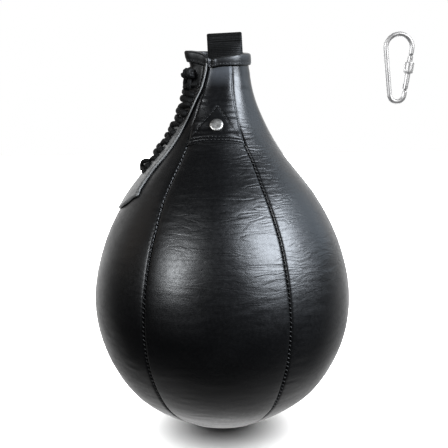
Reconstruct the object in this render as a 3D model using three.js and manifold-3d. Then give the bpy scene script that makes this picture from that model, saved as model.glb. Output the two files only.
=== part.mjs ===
// Leather speed bag with a laced neck, a webbing hanging loop and a screw-gate carabiner.
// Millimetres, +Z up, front at -Y. The origin is where a hook bears, under the fold of the hanging loop.
import * as THREE from 'three';
import * as BufferGeometryUtils from 'three/addons/utils/BufferGeometryUtils.js';
import Module from 'manifold-3d';

const { smoothstep } = THREE.MathUtils;
const wasm = await Module();
wasm.setup();

// ---- driving dimensions ----
const GAP = 0.3; // clearance between neighbouring pieces
const LEATHER = 1.8; // gore leather
const OVERLAY = 1.4; // patches and lacing facings
const OVERLAY_GAP = 0.6; // clearance under an overlay, on a curved wall
const BINDING = 1.2; // collar strip, one layer
const BINDING_GAP = 0.6; // between the collar strip and the leather it holds
const WEBBING = 2; // hanging strap thickness
const WEBBING_WIDTH = 28;

const GORES = 6;
const FIRST_SEAM = THREE.MathUtils.degToRad(27.5); // azimuth 0 faces the front, + to the right
const GORE_ANGLE = (2 * Math.PI) / GORES;
const SLIT = FIRST_SEAM - 2 * GORE_ANGLE; // the laced seam, on the left side
const SLIT_BOTTOM = -112;
const SLIT_HALF_WIDTH = 1.5;
const SLIT_LIFT = 1.5; // the laced lips stand out by this much
const GORE_TIP = -338.4; // the gores end here, at the bottom pole

// The bag's outline: [height, radius], from the rim of the neck to the bottom pole.
const OUTLINE = [
  [-10, 24], [-36, 24.6], [-62, 31.8], [-94, 49.5], [-135, 81.5], [-176, 102],
  [-220, 110.5], [-262, 102.5], [-300, 80], [-326, 45.5], [-336, 18], [-339, 0],
];

const COLLAR_HEIGHT = 7.5;
const COLLAR_MIDDLE = -19.7;
const COLLAR_PITCH = 3.4; // the rim is this much lower in front than at its middle
const COLLAR_ROLL = 0.9; // and this much lower on the right

const FOLD_RADIUS = 5.5; // middle of the webbing, where it folds over the hook
const FOLD_CENTRE = -FOLD_RADIUS + WEBBING / 2;
const STRAP_OFFSET = 3; // the strap is sewn in a little to the right
const STRAP_LEAN = Math.tan(THREE.MathUtils.degToRad(2.5));
const STRAP_BOTTOM = -86;
const STRAP_CLEARANCE = 1.1; // from the gore's inner face to the strap's leg
const NECK_INSIDE = 18.4; // middle of a leg, inside the collar
const NECK_BEND_BOTTOM = -26; // where the legs start to close up towards the fold

const RIVET_AZIMUTH = FIRST_SEAM - GORE_ANGLE / 2;
const RIVET_HEIGHT = -73.5;
const RIVET_HEAD_RADIUS = 5.5;
const RIVET_HEAD_HEIGHT = 2;
const RIVET_SHANK_RADIUS = 1.8;
const WASHER_RADIUS = 4.5;
const WASHER_THICKNESS = 0.8;
const RIVET_TAIL_RADIUS = 3.2; // the spread end, inside the neck

const LACE_RADIUS = 1.7;
const LACE_TURNS = 15;
const LACE_REACH = 11; // from the slit to the eyelets
const LACE_TOP = -43;
const LACE_ARCH = 1.2; // a turn stands this much higher over the slit
const KNOT_HALF_SIZES = [5.2, 6.4, 4.6];
const KNOT_HEIGHT = -32.8;
const KNOT_TURN = 0.12; // the knot hangs this far round from the slit

const RUBBER = 1.2; // bladder wall
const BLADDER_GAP = 2.8; // between the bladder and the gores
const BLADDER_SHOULDER = -112;
const BLADDER_MOUTH_RADIUS = 3;

const CARABINER_LENGTH = 60;
const ROD_RADIUS = 2.1;
const WIDE_RADIUS = 11; // centreline of the wide end
const NARROW_RADIUS = 6.2; // centreline of the narrow end
const NARROW_SHIFT = -0.8; // the narrow end lies this much to the left of the wide one
const CARABINER_AT = [150.8, 0, -11.5]; // centre of the wide end, stored beside the bag
const GATE_RADIUS = 2.3;
const GATE_TOP = 6; // along the gate line, down from the wide end's tangent point
const GATE_BOTTOM = 33;
const NOSE_PIN_AT = 8.4;
const HINGE_PIN_AT = 31.6;
const BLADE = 2; // thickness of the hook's flattened ends, inside the gate's forks
const NOSE_FACE = GATE_TOP - 0.4; // where the rod ends above the gate
const HINGE_FACE = HINGE_PIN_AT + 3; // and below it
const NOSE_PIN_RADIUS = 0.65;
const HINGE_PIN_RADIUS = 0.8;
const PIN_LENGTH = 2 * GATE_RADIUS - 0.2;
const SPRING_LENGTH = 7;
const SPRING_COIL_RADIUS = 0.6;
const SPRING_WIRE_RADIUS = 0.2;
const SPRING_TURNS = 5;
const SLEEVE_TOP = 10.6;
const SLEEVE_LENGTH = 9.4;
const SLEEVE_RADIUS = 4.1;

// ---- materials ----
const finish = (color, roughness, metalness = 0) =>
  new THREE.MeshStandardMaterial({ color, roughness, metalness });
const leather = finish(0x1b1c1f, 0.42);
const facingLeather = finish(0x3a3c3e, 0.5);
const webbing = finish(0x1d1c1b, 0.9);
const cord = finish(0x171717, 0.85);
const rubber = finish(0x4a2f22, 0.6);
const nickel = finish(0x8d8b88, 0.35, 1);
const zinc = finish(0xd4d6d8, 0.22, 1);
const spring = finish(0xa9abad, 0.3, 1);

// ---- general solids ----
const group = new THREE.Group();

function add(name, geometry, material, parent = group) {
  const mesh = new THREE.Mesh(geometry, material);
  mesh.name = name;
  parent.add(mesh);
  return mesh;
}

// A closed mesh with shared vertices and its faces pointing out.
function solid(geometry) {
  const bare = geometry.clone();
  bare.deleteAttribute('normal');
  bare.deleteAttribute('uv');
  const merged = BufferGeometryUtils.mergeVertices(bare, 1e-4);
  const corners = merged.index.array;
  const at = merged.attributes.position;
  const [a, b, c] = [new THREE.Vector3(), new THREE.Vector3(), new THREE.Vector3()];
  let volume = 0;
  for (let i = 0; i < corners.length; i += 3) {
    a.fromBufferAttribute(at, corners[i]);
    b.fromBufferAttribute(at, corners[i + 1]);
    c.fromBufferAttribute(at, corners[i + 2]);
    volume += a.dot(b.cross(c)) / 6;
  }
  if (volume < 0) {
    for (let i = 0; i < corners.length; i += 3) {
      [corners[i + 1], corners[i + 2]] = [corners[i + 2], corners[i + 1]];
    }
  }
  return merged;
}

function toManifold(geometry) {
  const closed = solid(geometry);
  return new wasm.Manifold(new wasm.Mesh({
    numProp: 3,
    vertProperties: new Float32Array(closed.attributes.position.array),
    triVerts: new Uint32Array(closed.index.array),
  }));
}

function fromManifold(shape) {
  const mesh = shape.getMesh();
  const geometry = new THREE.BufferGeometry();
  geometry.setAttribute('position', new THREE.BufferAttribute(mesh.vertProperties, 3));
  geometry.setIndex(new THREE.BufferAttribute(mesh.triVerts, 1));
  return geometry;
}

function cutAway(geometry, ...tools) {
  return fromManifold(tools.reduce((left, tool) => left.subtract(toManifold(tool)), toManifold(geometry)));
}

function joinAll(...pieces) {
  return fromManifold(pieces.map(toManifold).reduce((sum, piece) => sum.add(piece)));
}

// A sheet with thickness, between an outer and an inner surface, each a function of (u, v).
// u runs to the right and v down, as seen from outside.
function slab(outer, inner, across, down) {
  const positions = [];
  for (const side of [outer, inner]) {
    for (let j = 0; j <= down; j += 1) {
      for (let i = 0; i <= across; i += 1) positions.push(...side(i / across, j / down).toArray());
    }
  }
  const index = [];
  const layer = (across + 1) * (down + 1);
  const out = (i, j) => j * (across + 1) + i;
  const inn = (i, j) => layer + out(i, j);
  const quad = (a, b, c, d) => index.push(a, b, c, a, c, d);
  for (let j = 0; j < down; j += 1) {
    for (let i = 0; i < across; i += 1) {
      quad(out(i, j), out(i, j + 1), out(i + 1, j + 1), out(i + 1, j));
      quad(inn(i, j), inn(i + 1, j), inn(i + 1, j + 1), inn(i, j + 1));
    }
    quad(out(0, j), inn(0, j), inn(0, j + 1), out(0, j + 1));
    quad(out(across, j), out(across, j + 1), inn(across, j + 1), inn(across, j));
  }
  for (let i = 0; i < across; i += 1) {
    quad(out(i, 0), out(i + 1, 0), inn(i + 1, 0), inn(i, 0));
    quad(out(i, down), inn(i, down), inn(i + 1, down), out(i + 1, down));
  }
  const geometry = new THREE.BufferGeometry();
  geometry.setAttribute('position', new THREE.Float32BufferAttribute(positions, 3));
  geometry.setIndex(index);
  return geometry;
}

// A turned piece standing on the Z axis, from [radius, height] points.
function turned(points, segments) {
  const profile = points.map(([radius, height]) => new THREE.Vector2(radius, height));
  return solid(new THREE.LatheGeometry(profile, segments).rotateX(Math.PI / 2));
}

// A turned ring with a hole through it.
function ring(inside, outside, low, high, segments) {
  return turned([[inside, low], [outside, low], [outside, high], [inside, high], [inside, low]], segments);
}

function disc(radius, sides) {
  const points = [];
  for (let i = 0; i < sides; i += 1) {
    const turn = (2 * Math.PI * i) / sides;
    points.push(new THREE.Vector2(radius * Math.cos(turn), radius * Math.sin(turn)));
  }
  return new THREE.Shape(points);
}

function tube(path, radius, sides, steps) {
  return solid(new THREE.ExtrudeGeometry(disc(radius, sides), { steps, extrudePath: path }));
}

// ---- the bag's wall ----
const outline = new THREE.SplineCurve(OUTLINE.map(([z, r]) => new THREE.Vector2(r, z)));
outline.arcLengthDivisions = 600;

// The share of the outline's length at which it reaches a height.
function runAt(height) {
  let low = 0;
  let high = 1;
  for (let i = 0; i < 30; i += 1) {
    const middle = (low + high) / 2;
    if (outline.getPointAt(middle).y > height) low = middle;
    else high = middle;
  }
  return (low + high) / 2;
}

// The neck is flattened in front and behind by the strap inside it, and the bag below it is round.
const cornerPower = (height) => 2 + smoothstep(height, -80, -35);

function squareness(azimuth, height) {
  const power = cornerPower(height);
  const sum = Math.abs(Math.sin(azimuth)) ** power + Math.abs(Math.cos(azimuth)) ** power;
  return sum ** (-1 / power);
}

// How far the lips of the laced slit stand out at a place.
function lift(azimuth, radius, height) {
  const aside = Math.atan2(Math.sin(azimuth - SLIT), Math.cos(azimuth - SLIT)) * radius;
  const along = smoothstep(height, SLIT_BOTTOM - 25, SLIT_BOTTOM + 10);
  return SLIT_LIFT * along * Math.exp(-((aside / 12) ** 2));
}

// A point of the wall at a depth under the outer face; a negative depth is outside it.
function wall(azimuth, run, depth) {
  const spot = outline.getPointAt(run);
  const along = outline.getTangentAt(run);
  const out = lift(azimuth, spot.x, spot.y) - depth;
  const radius = spot.x - out * along.y;
  const height = spot.y + out * along.x;
  const reach = radius * squareness(azimuth, height);
  return new THREE.Vector3(reach * Math.sin(azimuth), -reach * Math.cos(azimuth), height);
}

const collarMiddle = (azimuth) =>
  COLLAR_MIDDLE - COLLAR_PITCH * Math.cos(azimuth) - COLLAR_ROLL * Math.sin(azimuth);

const radiusAtRun = (run) => outline.getPointAt(run).x;
const heightAtRun = (run) => outline.getPointAt(run).y;

// Half the opening that a seam leaves between two gores, as an angle.
function seamHalfGap(seam, run) {
  const laced = Math.abs(seam - SLIT) < 0.01 && heightAtRun(run) > SLIT_BOTTOM;
  return (laced ? SLIT_HALF_WIDTH : GAP / 2) / radiusAtRun(run);
}

// ---- rivets ----
const RIVET_STACK = OVERLAY + OVERLAY_GAP; // from the gore's face out to the patch's
const STRAP_DEPTH = LEATHER + STRAP_CLEARANCE + WEBBING / 2; // middle of the legs, under the wall's face

// Places a piece made on the Z axis on the wall, with +Z pointing out of it.
function onWall(geometry, azimuth, height, depth) {
  const run = runAt(height);
  const at = wall(azimuth, run, depth);
  const out = at.clone().sub(wall(azimuth, run, depth + 5)).normalize();
  const turn = new THREE.Quaternion().setFromUnitVectors(new THREE.Vector3(0, 0, 1), out);
  return geometry.clone().applyQuaternion(turn).translate(at.x, at.y, at.z);
}

const rivetHole = (azimuth) => {
  const drill = new THREE.CylinderGeometry(RIVET_SHANK_RADIUS + GAP, RIVET_SHANK_RADIUS + GAP, 24, 16);
  return onWall(drill.rotateX(Math.PI / 2), azimuth, RIVET_HEIGHT, 0);
};

const rivetTurns = { front: RIVET_AZIMUTH, rear: RIVET_AZIMUTH + Math.PI };

function makeRivets() {
  const underHead = RIVET_STACK + GAP;
  const washerTop = -(STRAP_DEPTH + WEBBING / 2 + 2 * GAP);
  const tail = washerTop - WASHER_THICKNESS - GAP;
  const rim = underHead + RIVET_HEAD_HEIGHT / 4;
  const rivet = turned([
    [0, tail - WASHER_THICKNESS], [RIVET_TAIL_RADIUS, tail - WASHER_THICKNESS], [RIVET_TAIL_RADIUS, tail],
    [RIVET_SHANK_RADIUS, tail], [RIVET_SHANK_RADIUS, underHead], [RIVET_HEAD_RADIUS, underHead],
    [RIVET_HEAD_RADIUS, rim], [RIVET_HEAD_RADIUS * 0.84, rim + 0.8], [RIVET_HEAD_RADIUS * 0.55, rim + 1.3],
    [0, underHead + RIVET_HEAD_HEIGHT],
  ], 16);
  const washer = ring(RIVET_SHANK_RADIUS + GAP, WASHER_RADIUS, washerTop - WASHER_THICKNESS, washerTop, 16);
  for (const [side, azimuth] of Object.entries(rivetTurns)) {
    add(`${side}_rivet`, onWall(rivet, azimuth, RIVET_HEIGHT, 0), nickel);
    add(`${side}_rivet_washer`, onWall(washer, azimuth, RIVET_HEIGHT, 0), nickel);
  }
}

// ---- gores, patches, facings and tongue ----
const GORE_NAMES = ['front', 'front_left', 'rear_left', 'rear', 'rear_right', 'front_right'];

function makeGores() {
  const tip = runAt(GORE_TIP);
  GORE_NAMES.forEach((name, number) => {
    const rightSeam = FIRST_SEAM - number * GORE_ANGLE;
    const leftSeam = rightSeam - GORE_ANGLE;
    const wrapped = (seam) => (seam < SLIT - 0.01 ? seam + 2 * Math.PI : seam);
    const place = (depth) => (u, v) => {
      const middle = (leftSeam + rightSeam) / 2;
      const rim = runAt(collarMiddle(middle) + COLLAR_HEIGHT / 2 - BINDING - BINDING_GAP);
      const run = rim + (tip - rim) * v;
      const from = leftSeam + seamHalfGap(wrapped(leftSeam), run);
      const to = rightSeam - seamHalfGap(wrapped(rightSeam), run);
      const azimuth = from + (to - from) * u;
      const ownRim = runAt(collarMiddle(azimuth) + COLLAR_HEIGHT / 2 - BINDING - BINDING_GAP);
      return wall(azimuth, ownRim + (tip - ownRim) * v, depth);
    };
    let gore = slab(place(0), place(LEATHER), 5, 22);
    if (name === 'front') gore = cutAway(gore, rivetHole(rivetTurns.front));
    if (name === 'rear') gore = cutAway(gore, rivetHole(rivetTurns.rear));
    add(`gore_${name}`, solid(gore), leather);
  });
}

function makePatches() {
  for (const [side, azimuth] of Object.entries(rivetTurns)) {
    const place = (depth) => (u, v) => {
      const turn = u - 0.5;
      const run0 = runAt(collarMiddle(azimuth + turn) - COLLAR_HEIGHT / 2 - 2 * GAP);
      const run1 = runAt(-88 - 10 * turn * turn);
      const run = run0 + (run1 - run0) * v;
      const half = GORE_ANGLE / 2 - (0.6 / radiusAtRun(run));
      return wall(azimuth + 2 * turn * half, run, depth);
    };
    const patch = slab(place(-OVERLAY_GAP - OVERLAY), place(-OVERLAY_GAP), 6, 8);
    add(`neck_patch_${side}`, cutAway(patch, rivetHole(azimuth)), leather);
  }
}

// Width of a lacing facing: [height, distance from the slit to its edge].
const FACING_EDGE = [
  [-27, 25], [-48, 27.5], [-64, 23], [-82, 22], [-106, 29.5], [-128, 44], [-140, 32], [-151, 3],
];
const facingEdge = new THREE.SplineCurve(FACING_EDGE.map(([z, width]) => new THREE.Vector2(width, z)));

function makeFacings() {
  for (const [side, direction] of [['front', 1], ['rear', -1]]) {
    const place = (depth) => (u, v) => {
      const edge = facingEdge.getPoint(v);
      const run = runAt(Math.min(edge.y, collarMiddle(SLIT) - COLLAR_HEIGHT / 2 - 3 * GAP));
      const radius = radiusAtRun(run);
      const near = heightAtRun(run) > SLIT_BOTTOM ? SLIT_HALF_WIDTH + GAP : GAP / 2;
      const far = Math.max(near + 1, Math.min(edge.x, GORE_ANGLE * radius - 1));
      const aside = near + (far - near) * (direction > 0 ? u : 1 - u);
      return wall(SLIT + (direction * aside) / radius, run, depth);
    };
    const facing = slab(place(-OVERLAY_GAP - OVERLAY), place(-OVERLAY_GAP), 6, 14);
    add(`lacing_facing_${side}`, solid(facing), facingLeather);
  }
}

function makeTongue() {
  const halfWidth = 14;
  const place = (depth) => (u, v) => {
    const run = runAt(-30 + (SLIT_BOTTOM - 6 + 30) * v);
    return wall(SLIT + ((2 * u - 1) * halfWidth) / radiusAtRun(run), run, depth);
  };
  add('lacing_tongue', solid(slab(place(LEATHER + 0.8), place(LEATHER + 0.8 + OVERLAY), 4, 7)), leather);
}

// ---- collar ----
// A strip folded over the rim and open at the slit: an upside-down U that the gores' top edges stand in.
function makeCollar() {
  const outside = -BINDING_GAP - BINDING;
  const inside = LEATHER + BINDING_GAP + BINDING;
  const roof = COLLAR_HEIGHT - BINDING;
  const section = [
    [outside, 0], [-BINDING_GAP, 0], [-BINDING_GAP, roof],
    [LEATHER + BINDING_GAP, roof], [LEATHER + BINDING_GAP, 0], [inside, 0],
    [inside, COLLAR_HEIGHT - 0.6], [inside - 0.6, COLLAR_HEIGHT],
    [outside + 0.6, COLLAR_HEIGHT], [outside, COLLAR_HEIGHT - 0.6],
  ].map(([depth, height]) => new THREE.Vector2(depth, height));
  const stations = 36;
  const openAngle = (SLIT_HALF_WIDTH + GAP) / OUTLINE[0][1];
  const positions = [];
  for (let k = 0; k <= stations; k += 1) {
    const azimuth = SLIT + openAngle + ((2 * Math.PI - 2 * openAngle) * k) / stations;
    for (const { x: depth, y: height } of section) {
      const run = runAt(collarMiddle(azimuth) - COLLAR_HEIGHT / 2 + height);
      positions.push(...wall(azimuth, run, depth).toArray());
    }
  }
  const index = [];
  const size = section.length;
  for (let k = 0; k < stations; k += 1) {
    for (let i = 0; i < size; i += 1) {
      const [a, b] = [k * size + i, k * size + ((i + 1) % size)];
      index.push(a, b, b + size, a, b + size, a + size);
    }
  }
  const last = stations * size;
  for (const [a, b, c] of THREE.ShapeUtils.triangulateShape(section, [])) {
    index.push(a, c, b, last + a, last + b, last + c);
  }
  const geometry = new THREE.BufferGeometry();
  geometry.setAttribute('position', new THREE.Float32BufferAttribute(positions, 3));
  geometry.setIndex(index);
  add('collar_binding', solid(geometry), leather);
}

// ---- hanging strap ----
// A loop of webbing: its legs lie flat inside the front and rear walls and it folds over at the top.
function legDistance(x, height) {
  const wallRadius = outline.getPointAt(runAt(height)).x - STRAP_DEPTH;
  const radius = THREE.MathUtils.lerp(NECK_INSIDE, wallRadius, 1 - smoothstep(height, -52, -27));
  const power = cornerPower(height);
  const flat = (radius ** power - Math.min(Math.abs(x), radius * 0.98) ** power) ** (1 / power);
  return THREE.MathUtils.lerp(flat, FOLD_RADIUS, smoothstep(height, NECK_BEND_BOTTOM, FOLD_CENTRE));
}

function strapMiddle(u, v) {
  const legLength = FOLD_CENTRE - STRAP_BOTTOM;
  const foldLength = Math.PI * FOLD_RADIUS;
  const along = v * (2 * legLength + foldLength);
  const fromEnd = Math.min(along, 2 * legLength + foldLength - along);
  const side = along < legLength + foldLength / 2 ? 1 : -1;
  const aside = (u - 0.5) * WEBBING_WIDTH;
  const lean = (height) =>
    new THREE.Vector3(STRAP_OFFSET + aside - height * STRAP_LEAN, 0, height + aside * STRAP_LEAN);
  if (fromEnd >= legLength) {
    const turn = (fromEnd - legLength) / FOLD_RADIUS;
    const point = lean(FOLD_CENTRE + FOLD_RADIUS * Math.sin(turn));
    return point.setY(side * FOLD_RADIUS * Math.cos(turn));
  }
  const point = lean(STRAP_BOTTOM + fromEnd);
  return point.setY(side * legDistance(point.x, point.z));
}

function strapFace(sign) {
  const step = 1e-3;
  return (u, v) => {
    const across = strapMiddle(u + step, v).sub(strapMiddle(u - step, v));
    const along = strapMiddle(u, Math.min(v + step, 1)).sub(strapMiddle(u, Math.max(v - step, 0)));
    const out = along.cross(across).normalize();
    return strapMiddle(u, v).addScaledVector(out, (sign * WEBBING) / 2);
  };
}

function makeStrap() {
  const strap = slab(strapFace(1), strapFace(-1), 4, 34);
  add('hanging_strap', cutAway(strap, ...Object.values(rivetTurns).map(rivetHole)), webbing);
}

// ---- lace ----
// One cord that crosses the slit over and over, round a turn at each eyelet.
class LaceRoute extends THREE.Curve {
  getPoint(t) {
    const turnRadius = this.pitch() / 2;
    const straight = 2 * (LACE_REACH - turnRadius);
    const arc = Math.PI * turnRadius;
    const total = LACE_TURNS * straight + (LACE_TURNS - 1) * arc;
    const along = Math.min(t, 1) * total;
    const turn = Math.min(Math.floor(along / (straight + arc)), LACE_TURNS - 1);
    const within = along - turn * (straight + arc);
    const side = turn % 2 === 0 ? 1 : -1;
    let aside = side * (Math.min(within, straight) - straight / 2);
    let down = turn * this.pitch();
    if (within > straight) {
      const angle = (within - straight) / turnRadius;
      aside += side * turnRadius * Math.sin(angle);
      down += turnRadius * (1 - Math.cos(angle));
    }
    const run = runAt(LACE_TOP) + down / outline.getLength();
    const arch = LACE_ARCH * (1 - (aside / LACE_REACH) ** 2);
    const depth = -(OVERLAY_GAP + OVERLAY + GAP + LACE_RADIUS + 0.1 + arch);
    return wall(SLIT + aside / (radiusAtRun(run) - depth), run, depth);
  }

  pitch() {
    return ((runAt(SLIT_BOTTOM) - runAt(LACE_TOP)) * outline.getLength()) / (LACE_TURNS - 1);
  }
}

function makeLace() {
  add('lace', tube(new LaceRoute(), LACE_RADIUS, 8, 84), cord);
  const knot = new THREE.SphereGeometry(1, 12, 7).scale(...KNOT_HALF_SIZES);
  const depth = -(OVERLAY_GAP + OVERLAY + 2 * GAP + KNOT_HALF_SIZES[2]);
  add('lace_knot', solid(onWall(knot, SLIT + KNOT_TURN, KNOT_HEIGHT, depth)), cord);
}

// ---- bladder ----
function makeBladder() {
  const layer = (depth) => {
    const points = [];
    const from = runAt(BLADDER_SHOULDER);
    const steps = 11;
    for (let i = 0; i <= steps; i += 1) {
      const run = from + (1 - from) * (i / steps);
      const spot = outline.getPointAt(run);
      const along = outline.getTangentAt(run);
      const radius = i === steps ? 0 : spot.x + depth * along.y;
      points.unshift([radius, i === steps ? spot.y + depth : spot.y - depth * along.x]);
    }
    return [...points, [50 - depth, -104 - depth], [30, -97 - depth], [11, -94.5 - depth]];
  };
  const depth = LEATHER + BLADDER_GAP;
  const neckRadius = BLADDER_MOUTH_RADIUS + RUBBER;
  const profile = [
    ...layer(depth), [neckRadius, -98], [neckRadius, -91], [BLADDER_MOUTH_RADIUS, -91],
    [BLADDER_MOUTH_RADIUS, -98 - RUBBER], ...layer(depth + RUBBER).reverse(),
  ];
  add('bladder', turned(profile, 18), rubber);
  const stem = BLADDER_MOUTH_RADIUS - GAP;
  const valve = [
    [1, -97], [stem, -97], [stem, -90.6], [4.6, -90.6], [4.6, -89.6], [2.4, -87.8], [1, -87.8], [1, -97],
  ];
  add('bladder_valve', turned(valve, 16), rubber);
}

// ---- carabiner ----
// Drawn in the XZ plane round the centre of its wide end.
const centreDistance = CARABINER_LENGTH - WIDE_RADIUS - NARROW_RADIUS - 2 * ROD_RADIUS;
const narrowCentre = new THREE.Vector3(NARROW_SHIFT, 0, -centreDistance);
const tangentTilt = Math.asin((WIDE_RADIUS - NARROW_RADIUS) / narrowCentre.length());
const axisTilt = Math.atan2(-NARROW_SHIFT, centreDistance);
const rightAngle = -tangentTilt - axisTilt; // direction of the gate side's outward normal
const leftAngle = Math.PI + tangentTilt - axisTilt;
const gateNormal = new THREE.Vector3(Math.cos(rightAngle), 0, Math.sin(rightAngle));
const gateDown = new THREE.Vector3(Math.sin(rightAngle), 0, -Math.cos(rightAngle));
const onGateLine = (distance) =>
  gateNormal.clone().multiplyScalar(WIDE_RADIUS).addScaledVector(gateDown, distance);

const carabiner = new THREE.Group();
carabiner.position.set(...CARABINER_AT);
group.add(carabiner);

class EndArc extends THREE.Curve {
  constructor(centre, radius, from, to) {
    super();
    Object.assign(this, { centre, radius, from, to });
  }

  getPoint(t) {
    const turn = this.from + (this.to - this.from) * t;
    return new THREE.Vector3(Math.cos(turn), 0, Math.sin(turn)).multiplyScalar(this.radius).add(this.centre);
  }
}

// A piece drawn round its own Z axis, set on the gate line with +Z pointing up along it.
const gateTurn = Math.PI / 2 - Math.atan2(-gateDown.z, -gateDown.x);
function onGate(geometry, distance) {
  const at = onGateLine(distance);
  return solid(geometry.clone().rotateY(gateTurn).translate(at.x, at.y, at.z));
}

const block = (wide, deep, low, high) =>
  new THREE.BoxGeometry(wide, deep, high - low).translate(0, 0, (low + high) / 2);
const crossPin = (radius, length) => new THREE.CylinderGeometry(radius, radius, length, 12);

function makeHook() {
  const wideCentre = new THREE.Vector3();
  const path = new THREE.CurvePath();
  const onCircle = (centre, radius, angle) => new EndArc(centre, radius, angle, angle).getPoint(0);
  path.add(new THREE.LineCurve3(onGateLine(NOSE_FACE), onGateLine(0)));
  path.add(new EndArc(wideCentre, WIDE_RADIUS, rightAngle, leftAngle));
  path.add(new THREE.LineCurve3(
    onCircle(wideCentre, WIDE_RADIUS, leftAngle),
    onCircle(narrowCentre, NARROW_RADIUS, leftAngle),
  ));
  path.add(new EndArc(narrowCentre, NARROW_RADIUS, leftAngle, rightAngle + 2 * Math.PI));
  const narrowTangent = onCircle(narrowCentre, NARROW_RADIUS, rightAngle);
  path.add(new THREE.LineCurve3(narrowTangent, onGateLine(HINGE_FACE)));
  const rod = tube(path, ROD_RADIUS, 10, 46);
  const noseBlade = onGate(block(3, BLADE, -4.2, 0.5), NOSE_FACE);
  const hingeBlade = onGate(block(2.6, BLADE, -0.5, 4.6), HINGE_FACE);
  const noseNotch = onGate(block(4, 3, -0.95, 0.95).translate(-1.05, 0, 0), NOSE_PIN_AT);
  const hingeHole = onGate(crossPin(HINGE_PIN_RADIUS + GAP, 4), HINGE_PIN_AT);
  add('carabiner_hook', cutAway(joinAll(rod, noseBlade, hingeBlade), noseNotch, hingeHole), zinc, carabiner);
  add('gate_hinge_pin', onGate(crossPin(HINGE_PIN_RADIUS, PIN_LENGTH), HINGE_PIN_AT), zinc, carabiner);
}

function makeGate() {
  const length = GATE_BOTTOM - GATE_TOP;
  const slot = BLADE + 2 * GAP;
  const bar = new THREE.CylinderGeometry(GATE_RADIUS, GATE_RADIUS, length, 16).rotateX(Math.PI / 2);
  const topFork = block(8, slot, -5.2, 1);
  const hingeFork = block(8, slot, -1, 4.6 + GATE_BOTTOM - HINGE_FACE + 0.9);
  const springBore = SPRING_COIL_RADIUS + SPRING_WIRE_RADIUS + GAP;
  const bore = new THREE.CylinderGeometry(springBore, springBore, 9, 12).rotateX(Math.PI / 2);
  const gate = cutAway(
    onGate(bar, (GATE_TOP + GATE_BOTTOM) / 2),
    onGate(topFork, GATE_TOP),
    onGate(hingeFork, GATE_BOTTOM),
    onGate(bore, HINGE_PIN_AT - 6.3),
    onGate(crossPin(NOSE_PIN_RADIUS + GAP, 8), NOSE_PIN_AT),
    onGate(crossPin(HINGE_PIN_RADIUS + GAP, 8), HINGE_PIN_AT),
  );
  add('carabiner_gate', gate, zinc, carabiner);
  add('gate_nose_pin', onGate(crossPin(NOSE_PIN_RADIUS, PIN_LENGTH), NOSE_PIN_AT), zinc, carabiner);
}

class SpringRoute extends THREE.Curve {
  getPoint(t) {
    const turn = 2 * Math.PI * SPRING_TURNS * t;
    const [x, y] = [Math.cos(turn), Math.sin(turn)];
    return new THREE.Vector3(x * SPRING_COIL_RADIUS, y * SPRING_COIL_RADIUS, SPRING_LENGTH * t);
  }
}

function makeSpringAndSleeve() {
  const coil = tube(new SpringRoute(), SPRING_WIRE_RADIUS, 4, 40);
  add('gate_spring', onGate(coil, HINGE_PIN_AT - 3.2), spring, carabiner);
  const chamfer = 0.7;
  const bore = GATE_RADIUS + GAP;
  const sleeve = turned([
    [bore, 0], [SLEEVE_RADIUS - chamfer, 0], [SLEEVE_RADIUS, chamfer],
    [SLEEVE_RADIUS, SLEEVE_LENGTH - chamfer], [SLEEVE_RADIUS - chamfer, SLEEVE_LENGTH],
    [bore, SLEEVE_LENGTH], [bore, 0],
  ], 20);
  add('screw_sleeve', onGate(sleeve, SLEEVE_TOP + SLEEVE_LENGTH), zinc, carabiner);
}

makeGores();
makePatches();
makeFacings();
makeTongue();
makeCollar();
makeStrap();
makeLace();
makeRivets();
makeBladder();
makeHook();
makeGate();
makeSpringAndSleeve();

export default group;
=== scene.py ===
"""Looks of the leather speed bag and its carabiner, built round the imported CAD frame.

Sizes are in millimetres until a mesh is made, in the frame of the CAD part: +Z up, front at -Y,
azimuth 0 at the front and growing to the right. A run is a distance down the wall from its top.
"""

import math

import bmesh
import bpy
import numpy as np
from mathutils import Matrix, Vector


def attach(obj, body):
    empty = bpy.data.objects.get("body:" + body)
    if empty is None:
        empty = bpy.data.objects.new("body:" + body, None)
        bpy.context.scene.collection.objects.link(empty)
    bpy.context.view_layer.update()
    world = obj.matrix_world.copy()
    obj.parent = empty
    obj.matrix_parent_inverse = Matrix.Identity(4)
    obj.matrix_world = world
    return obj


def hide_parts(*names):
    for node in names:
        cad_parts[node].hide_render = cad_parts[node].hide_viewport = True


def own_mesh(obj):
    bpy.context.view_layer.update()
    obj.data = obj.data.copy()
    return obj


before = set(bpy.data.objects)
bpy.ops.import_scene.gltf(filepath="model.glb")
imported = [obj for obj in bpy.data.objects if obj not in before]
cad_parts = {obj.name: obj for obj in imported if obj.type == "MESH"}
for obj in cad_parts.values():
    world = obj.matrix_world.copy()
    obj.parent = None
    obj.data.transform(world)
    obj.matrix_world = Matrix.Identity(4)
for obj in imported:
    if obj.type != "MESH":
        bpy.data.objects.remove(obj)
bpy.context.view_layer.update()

MM = 0.001

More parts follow.
